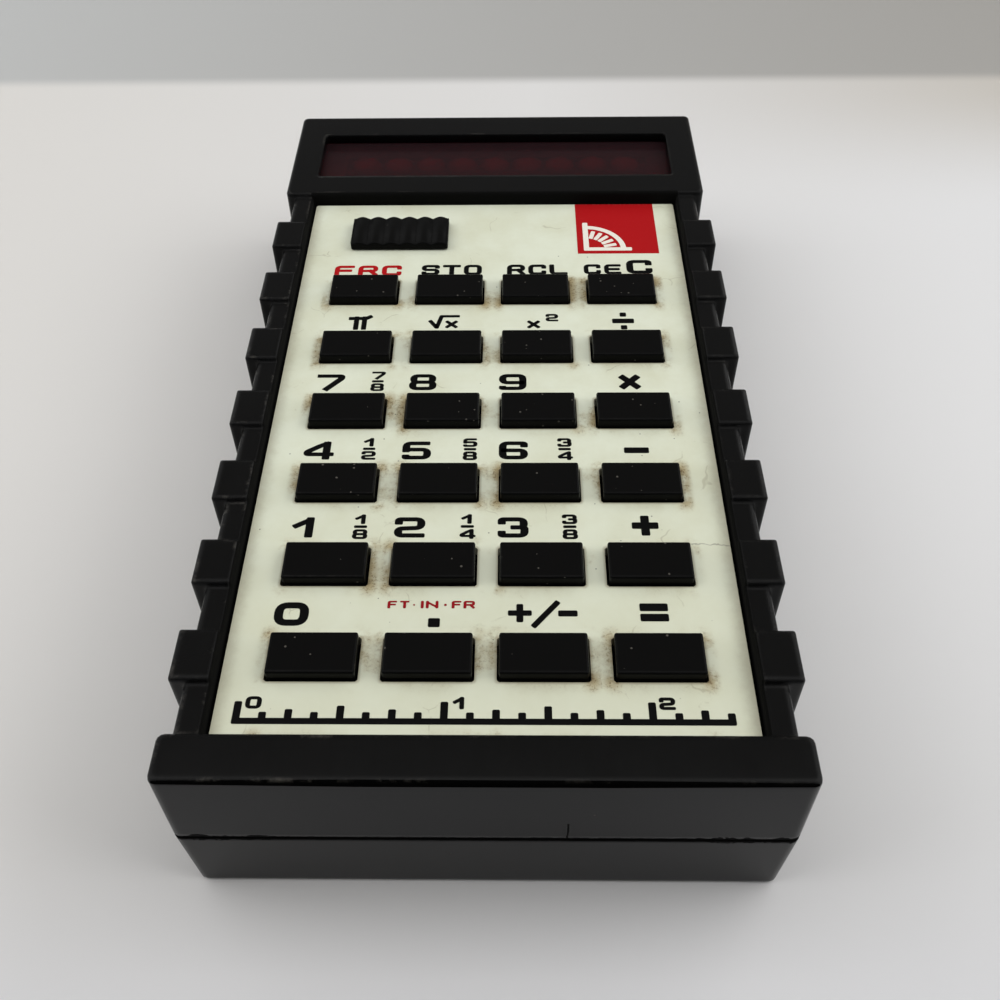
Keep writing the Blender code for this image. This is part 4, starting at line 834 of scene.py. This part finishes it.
for sign, left, bottom, width, height, *pen in SINGLES:
    black += lettering([sign], left, bottom, width, height, pen or (THIN, height))
black += lettering("2", 8.92, 11.75, 2.1, 1.9, (0.62, 0.42), radius=0.42)
black += lettering("STO", -12.5, 24.5, gap=0.55, **LABEL)
black += lettering("RCL", 2.45, 24.5, gap=0.55, **LABEL)
black += lettering("CE", 15.85, 24.6, 2.95, 2.8, (0.80, 0.64), gap=0.6, radius=0.6)
black += lettering("C", 23.3, 24.7, 4.5, 3.9, (1.20, 0.85), radius=0.9)
print(len(black), "strokes of black ink")

# %% [markdown]
# Red ink carries the label of the top left key and the small units line.

# %% Red label and units
red = lettering("FRC", -27.75, 24.4, 3.45, 2.9, (0.85, 0.66), gap=0.7, radius=0.7)
UNITS = (("F", -13.08, 1.22), ("T", -11.44, 1.22), (".", -9.70, 0.24), ("I", -8.69, 0.38),
         ("N", -8.02, 1.65), (".", -5.62, 0.34), ("F", -4.62, 1.26), ("R", -3.06, 1.50))
units = []
for sign, left, width in UNITS:
    if sign == ".":
        units += bar(left, -46.87 - width / 2, width, width)
    else:
        units += lettering(sign, left, -47.42, width, 1.20, (0.38, 0.25), radius=0.2)
print(len(red) + len(units), "strokes of red ink")

# %% [markdown]
# In the corner is a plain red patch with a white protractor: a quarter circle, its two arms and a tick
# every fifteen degrees.

# %% Patch and protractor
PATCH_LEFT, PATCH_RIGHT, PATCH_FRONT = 15.0, 29.4, 30.6
patch_rear = panel_high.y / MM - 0.05
patch_middle = (patch_rear + PATCH_FRONT) / 2
across = np.array(((PATCH_LEFT, patch_middle), (PATCH_RIGHT, patch_middle))) * MM
patch = ink_stroke(across, (0.0, (patch_rear - PATCH_FRONT) * MM), panel_top, ends="butt")

HUB = np.array((16.6, 31.9))
ARC_RADIUS, ARM_LENGTH, SPOKE_FROM, SPOKE_TO = 6.6, 7.6, 3.6, 5.2
ARC_PEN, SPOKE_PEN = (0.95 * MM, 0.95 * MM), (0.75 * MM, 0.75 * MM)
on_patch = panel_top + INK_RISE
angles = np.radians(np.arange(0, 91, 3.0))
arc = (HUB + ARC_RADIUS * np.column_stack((np.cos(angles), np.sin(angles)))) * MM
white = [ink_stroke(arc, ARC_PEN, on_patch)]
for step, tip in ((1, (0, ARM_LENGTH)), (2, (ARM_LENGTH, 0))):
    white.append(ink_stroke((HUB + (tip, (0, 0))) * MM, ARC_PEN, on_patch + step * 0.001 * MM))
for angle in np.radians(np.arange(15, 76, 15)):
    spoke = np.array((math.cos(angle), math.sin(angle)))
    ends = np.array((HUB + SPOKE_FROM * spoke, HUB + SPOKE_TO * spoke)) * MM
    white.append(ink_stroke(ends, SPOKE_PEN, on_patch))
print(len(white), "strokes of white ink")

# %% [markdown]
# Along the bottom runs an inch rule in eighths, whose ticks are longer at quarters, halves and inches.

# %% The inch rule
INCH = 25.4
RULE_LEFT, RULE_FRONT = -30.85, -64.85
TICK_TALL = (3.2, 1.7, 2.1, 1.7, 2.6, 1.7, 2.1, 1.7)
TICK_WIDE = 0.95
EIGHTHS = 19
RULE_LONG = TICK_WIDE + EIGHTHS * INCH / 8
black += bar(RULE_LEFT, RULE_FRONT, RULE_LONG, 0.85)
for eighth in range(EIGHTHS + 1):
    x = RULE_LEFT + TICK_WIDE / 2 + eighth * INCH / 8
    tick = np.array(((x, RULE_FRONT + 0.1), (x, RULE_FRONT + TICK_TALL[eighth % 8]))) * MM
    black.append(ink_stroke(tick, (TICK_WIDE * MM, THIN * MM), panel_top + 0.002 * MM))
for inch in (0, 1, 2):
    black += lettering(str(inch), RULE_LEFT + 1.35 + inch * INCH, RULE_FRONT + 2.15, 2.0, 1.75,
                       (0.58, 0.42), radius=0.45)
print("the rule shows", EIGHTHS / 8, "inches")

# %% [markdown]
# Screen ink dries with a slight pebble and a soft gloss, and worn prints let a little of the ground
# through. Only the colour differs between the four, so one function makes them.

# %% Inks
def screen_ink(name, colour, worn):
    """Matt vinyl ink. Noise finer than half a millimetre mixes in the worn shade and roughens the film."""
    made, add, shader, place = new_material(name)
    grain = add("TexNoise", {"Scale": per_mm(0.35), "Detail": 3.0, "Vector": place})
    share = add("MapRange", {"From Min": 0.60, "From Max": 0.80, "To Max": 0.5, "Value": grain})
    tint = add("Mix", {"data_type": "RGBA", 0: share, 6: linear(colour), 7: linear(worn)}, output=2)
    rise = add("Bump", {"Strength": 0.15, "Distance": 0.02 * MM, "Height": grain})
    set_up(shader, {"Base Color": tint, "Normal": rise, "Roughness": 0.45, "Specular IOR Level": 0.06})
    return made


black_ink = screen_ink("black_screen_ink", "070707", "100F0E")
red_ink = screen_ink("red_screen_ink", "A81418", "B02A2C")
unit_ink = screen_ink("dark_red_screen_ink", "8E141C", "A83236")
white_ink = screen_ink("white_screen_ink", "E6E2D6", "D9C9C0")
piece_from("legends_black", black, black_ink)
piece_from("legends_red", red, red_ink)
piece_from("units_red", units, unit_ink)
piece_from("corner_patch", [patch], red_ink)
piece_from("protractor_mark", white, white_ink)

# %% [markdown]
# ## The slider
# The power switch has a cap with six soft ridges that a thumb can push against. It could be a box with
# a wave texture, but the crests show against the panel, so they have to be real. A profile of rounded
# waves is carried from front to back, and drawn in a little at both ends.

# %% Ridged cap
RIDGES, RIDGE_DEPTH = 6, 0.50 * MM
END_RADIUS, STEM_RADIUS = 0.35 * MM, 0.3 * MM
cap_low, cap_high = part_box("switch_slider")


def ridged_cap(low, high, ridges, steps=12):
    """Closed loop in x and z carried along y. The top is valley + depth |sin(pi n s)|^1.15, for n ridges
    as s goes from 0 to 1. Near each end the loop shrinks by r - sqrt(r^2 - (r - d)^2), at a distance d."""
    s = np.linspace(0, 1, ridges * steps + 1)
    x = high.x + (low.x - high.x) * s
    z = high.z - RIDGE_DEPTH + RIDGE_DEPTH * np.abs(np.sin(np.pi * ridges * s)) ** 1.15
    z[[0, -1]] = high.z - RIDGE_DEPTH * 0.75
    d = np.array((0.0, 0.08, 0.3, 1.0)) * END_RADIUS
    inset = END_RADIUS - np.sqrt(END_RADIUS ** 2 - (END_RADIUS - d) ** 2)
    y = np.concatenate((low.y + d, high.y - d[::-1]))[:, None]
    inset = np.concatenate((inset, inset[::-1]))[:, None]
    middle = (low.x + high.x) / 2
    x = middle + (x - middle) * (1 - inset / (high.x - middle))
    top = np.stack(np.broadcast_arrays(x, y, z - inset), -1)
    floor = top[:, [-1, 0]].copy()
    floor[..., 2] = panel_top + 0.3 * MM
    loops = np.concatenate((top, floor), axis=1)
    rings, count = loops.shape[:2]
    ends = [np.arange(count), (rings - 1) * count + np.arange(count)[::-1]]
    return loops.reshape(-1, 3), [*grid_faces(rings, count), *ends]


def post(low, high, radius, steps=5):
    """Upright bar of rounded square section: four quarter circles, and the same loop at both heights."""
    quarter = np.linspace(0, np.pi / 2, steps)
    angle = np.concatenate([quarter + n * np.pi / 2 for n in range(4)])
    corner = np.repeat(np.array(((1, 1), (-1, 1), (-1, -1), (1, -1))), steps, axis=0)
    centre, half = (np.array(low[:2]) + high[:2]) / 2, (np.array(high[:2]) - low[:2]) / 2
    loop = centre + corner * (half - radius) + radius * np.column_stack((np.cos(angle), np.sin(angle)))
    j = np.arange(len(loop))
    points = np.vstack([np.column_stack((loop, np.full(len(loop), z))) for z in (low[2], high[2])])
    return points, [*grid_faces(2, len(loop)), j[::-1], j + len(loop)]


stem_x, stem_y = (cap_low.x + cap_high.x) / 2, (cap_low.y + cap_high.y) / 2
stem = post((stem_x - 2 * MM, stem_y - 1.5 * MM, cap_low.z),
            (stem_x + 2 * MM, stem_y + 1.5 * MM, panel_top + 0.5 * MM), STEM_RADIUS)
ridged = piece_from("ridged_slider", [ridged_cap(cap_low, cap_high, RIDGES), stem], slider_plastic,
                    body="switch_slider", smooth=True)
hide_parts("switch_slider")

# %% [markdown]
# ## The digit lens
# Each digit sits under its own moulded bubble, a small magnifier, and the nine bubbles are one strip.
# A sheet of height over x and y gives all of them at once, because the height of a bubble depends only
# on how far a point is from the nearest digit's middle.

# %% Nine bubbles
DIGITS, BULGE = 9, 1.2 * MM


def bubble_strip(low, high, digits):
    """Height is the strip's top plus bulge sqrt(1 - (u / a)^2 - (v / b)^2), with u the distance to the
    nearest digit along x, v the distance from the middle line, a and b the half axes of a bubble, and
    zero outside that oval."""
    pitch = (high.x - low.x) / (digits + 0.3)
    x = np.linspace(low.x, high.x, digits * 22 + 1)
    y = np.linspace(low.y, high.y, 29)
    u = x - (low.x + high.x) / 2 + pitch / 2
    u = u - pitch * np.floor(u / pitch) - pitch / 2
    u = np.where(np.abs(x - (low.x + high.x) / 2) > digits * pitch / 2, pitch / 2, u)
    v = y - (low.y + high.y) / 2
    a, b = 0.49 * pitch, 0.44 * (high.y - low.y)
    oval = 1 - (u[None] / a) ** 2 - (v[:, None] / b) ** 2
    z = high.z - BULGE + BULGE * np.sqrt(np.clip(oval, 0, 1))
    sheet = np.stack(np.broadcast_arrays(x[None], y[:, None], z), -1).reshape(-1, 3)
    rings, count = z.shape
    rim = np.concatenate((np.arange(count), (np.arange(1, rings) + 1) * count - 1,
                          rings * count - 2 - np.arange(count - 1), np.arange(rings - 2, 0, -1) * count))
    under = sheet[rim]
    under[:, 2] = low.z
    m = np.arange(len(rim))
    after = (m + 1) % len(rim)
    wall = np.column_stack((rim, len(sheet) + m, len(sheet) + after, rim[after]))
    faces = [*grid_faces(rings, count, closed=False), *wall, (len(sheet) + m)[::-1]]
    return np.vstack((sheet, under)), faces


lens_strip = piece_from("digit_bubbles", [bubble_strip(lens_low, lens_high, DIGITS)], lens_acrylic,
                        smooth=True)
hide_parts("display_lens")

# %% [markdown]
# ## The table and the light
# A white table runs back to a grey wall. A real wall would stand in the way of a camera behind the
# calculator, so the wall is only a greyer shade of the same sheet, which turns up gently a metre away.
# The sheet's tone carries painted shade and light: darker and warmer to the left and at the wall's foot
# on the right, lighter near the front, and the wall darker to the right.

# %% Table
WALL_Y = 143 * MM


def table_sheet(radius=1.6, flat=1.0, rise=0.5):
    """Dish in rings and spokes: height is rise ((r - flat) / (radius - flat))^2 past the flat middle."""
    r = np.concatenate((np.linspace(0.01, flat, 12), np.linspace(flat, radius, 14)[1:]))[:, None]
    a = np.linspace(0, 2 * np.pi, 97)[:-1]
    z = rise * np.clip((r - flat) / (radius - flat), 0, None) ** 2
    points = np.stack(np.broadcast_arrays(r * np.cos(a), r * np.sin(a), z), -1).reshape(-1, 3)
    return points, [*grid_faces(len(r), len(a))[:, (0, 3, 2, 1)], np.arange(len(a))]


laminate, add, shader, place = new_material("white_laminate")
x, y = add("SeparateXYZ", {"Vector": place}, output=slice(2))
# The table is darker and warmer to the left: painted shade.
rightward = add("MapRange", {"From Min": -160 * MM, "From Max": 160 * MM, "Value": x})
on_wall = add("MapRange", {**SMOOTH, "From Min": WALL_Y - 3 * MM, "From Max": WALL_Y + 3 * MM, "Value": y})
# Darker at the wall's foot on the right: painted shade.
painted_shade_at_wall_foot = add("MapRange", {**SMOOTH, "From Min": 80 * MM, "From Max": 140 * MM, "Value": y})
foot_side = add("MapRange", {"From Min": 10 * MM, "From Max": 130 * MM, "Value": x})
painted_shade_at_wall_foot = add("Math", {"operation": "MULTIPLY", 0: painted_shade_at_wall_foot, 1: foot_side})
# Lighter and bluer near the front: painted light.
painted_light_near_front = add("MapRange", {**SMOOTH, "From Min": -60 * MM, "From Max": -115 * MM, "Value": y})
# The wall darkens to the right: painted shade.
wall_tone_and_shade = add("Mix", {"data_type": "RGBA", 0: rightward, 6: linear("BCBDBC"), 7: linear("9B9893")},
                output=2)
tone = linear("D9D6D1")
for share, shade in ((rightward, linear("DEDEDF")), (painted_shade_at_wall_foot, linear("C1BCB4")),
                     (painted_light_near_front, linear("DFDFE2")), (on_wall, wall_tone_and_shade)):
    tone = add("Mix", {"data_type": "RGBA", 0: share, 6: tone, 7: shade}, output=2)
orange_peel = add("TexNoise", {"Scale": per_mm(3), "Detail": 3.0, "Vector": place})
peel = add("Bump", {"Strength": 0.10, "Distance": 0.05 * MM, "Height": orange_peel})
set_up(shader, {"Base Color": tone, "Normal": peel, "Roughness": 0.6})
table = mesh_object("table", *table_sheet(), laminate)
table.data.shade_smooth()
print("the wall's shade starts", round(WALL_Y / MM), "mm behind the middle of the case")

# %% [markdown]
# A long soft strip hangs overhead and a broad lamp stands at each side, so no shadow has an edge. The
# room behind is a very dim lamp: black plastic is mostly mirror, and what it mirrors sets how black its
# top faces are. A black card held low in front, out of sight, takes the shine off the front edges, as
# a person bending over the table does.

# %% Lamps and a black card
def soft_lamp(name, size, place, target, glow):
    """Rectangular area lamp that looks at a target. Its power is pi times its area times its glow."""
    data = bpy.data.lights.new(name, "AREA")
    data.shape = "RECTANGLE"
    data.size, data.size_y = size
    data.energy = math.pi * size[0] * size[1] * glow
    lamp = put_in_scene(name, data)
    look = (Vector(target) - Vector(place)).to_track_quat("-Z", "Y")
    lamp.matrix_world = Matrix.Translation(place) @ look.to_matrix().to_4x4()
    lamp.visible_camera = False


soft_lamp("ceiling", (4.0, 0.9), (0.0, -0.09, 1.0), (0, -0.09, 0), 1.64)
soft_lamp("left", (3.0, 1.4), (-1.5, 0.45, 0.85), (0, 0, 0), 0.94)
soft_lamp("right", (3.0, 1.4), (1.5, 0.45, 0.85), (0, 0, 0), 1.72)
soft_lamp("dim_room_behind", (3.0, 2.2), (0.0, 1.6, 1.5), (0, 0, 0), 0.17)
CARD_MIDDLE, CARD_HALF = Vector((3, -168, 182)) * MM, (100 * MM, 70 * MM)
card_turn = (-CARD_MIDDLE).to_track_quat("-Z", "Y").to_matrix()
corners = np.array([CARD_MIDDLE + card_turn @ Vector((u * CARD_HALF[0], v * CARD_HALF[1], 0))
                    for u, v in ((-1, -1), (1, -1), (1, 1), (-1, 1))])
felt = plain_finish("black_felt", "050505", "080808", 1.0, 0.9)
card = mesh_object("black_card", corners, [(0, 1, 2, 3)], felt)
card.visible_camera = False
world = bpy.data.worlds.new("dark_room")
world.use_nodes = True
set_up(world.node_tree.nodes["Background"], {"Color": linear("2A2A2B"), "Strength": 1.0})
bpy.context.scene.world = world
bpy.context.scene.view_settings.view_transform = "Standard"
print("lamps:", *sorted(lamp.name for lamp in bpy.data.lights))
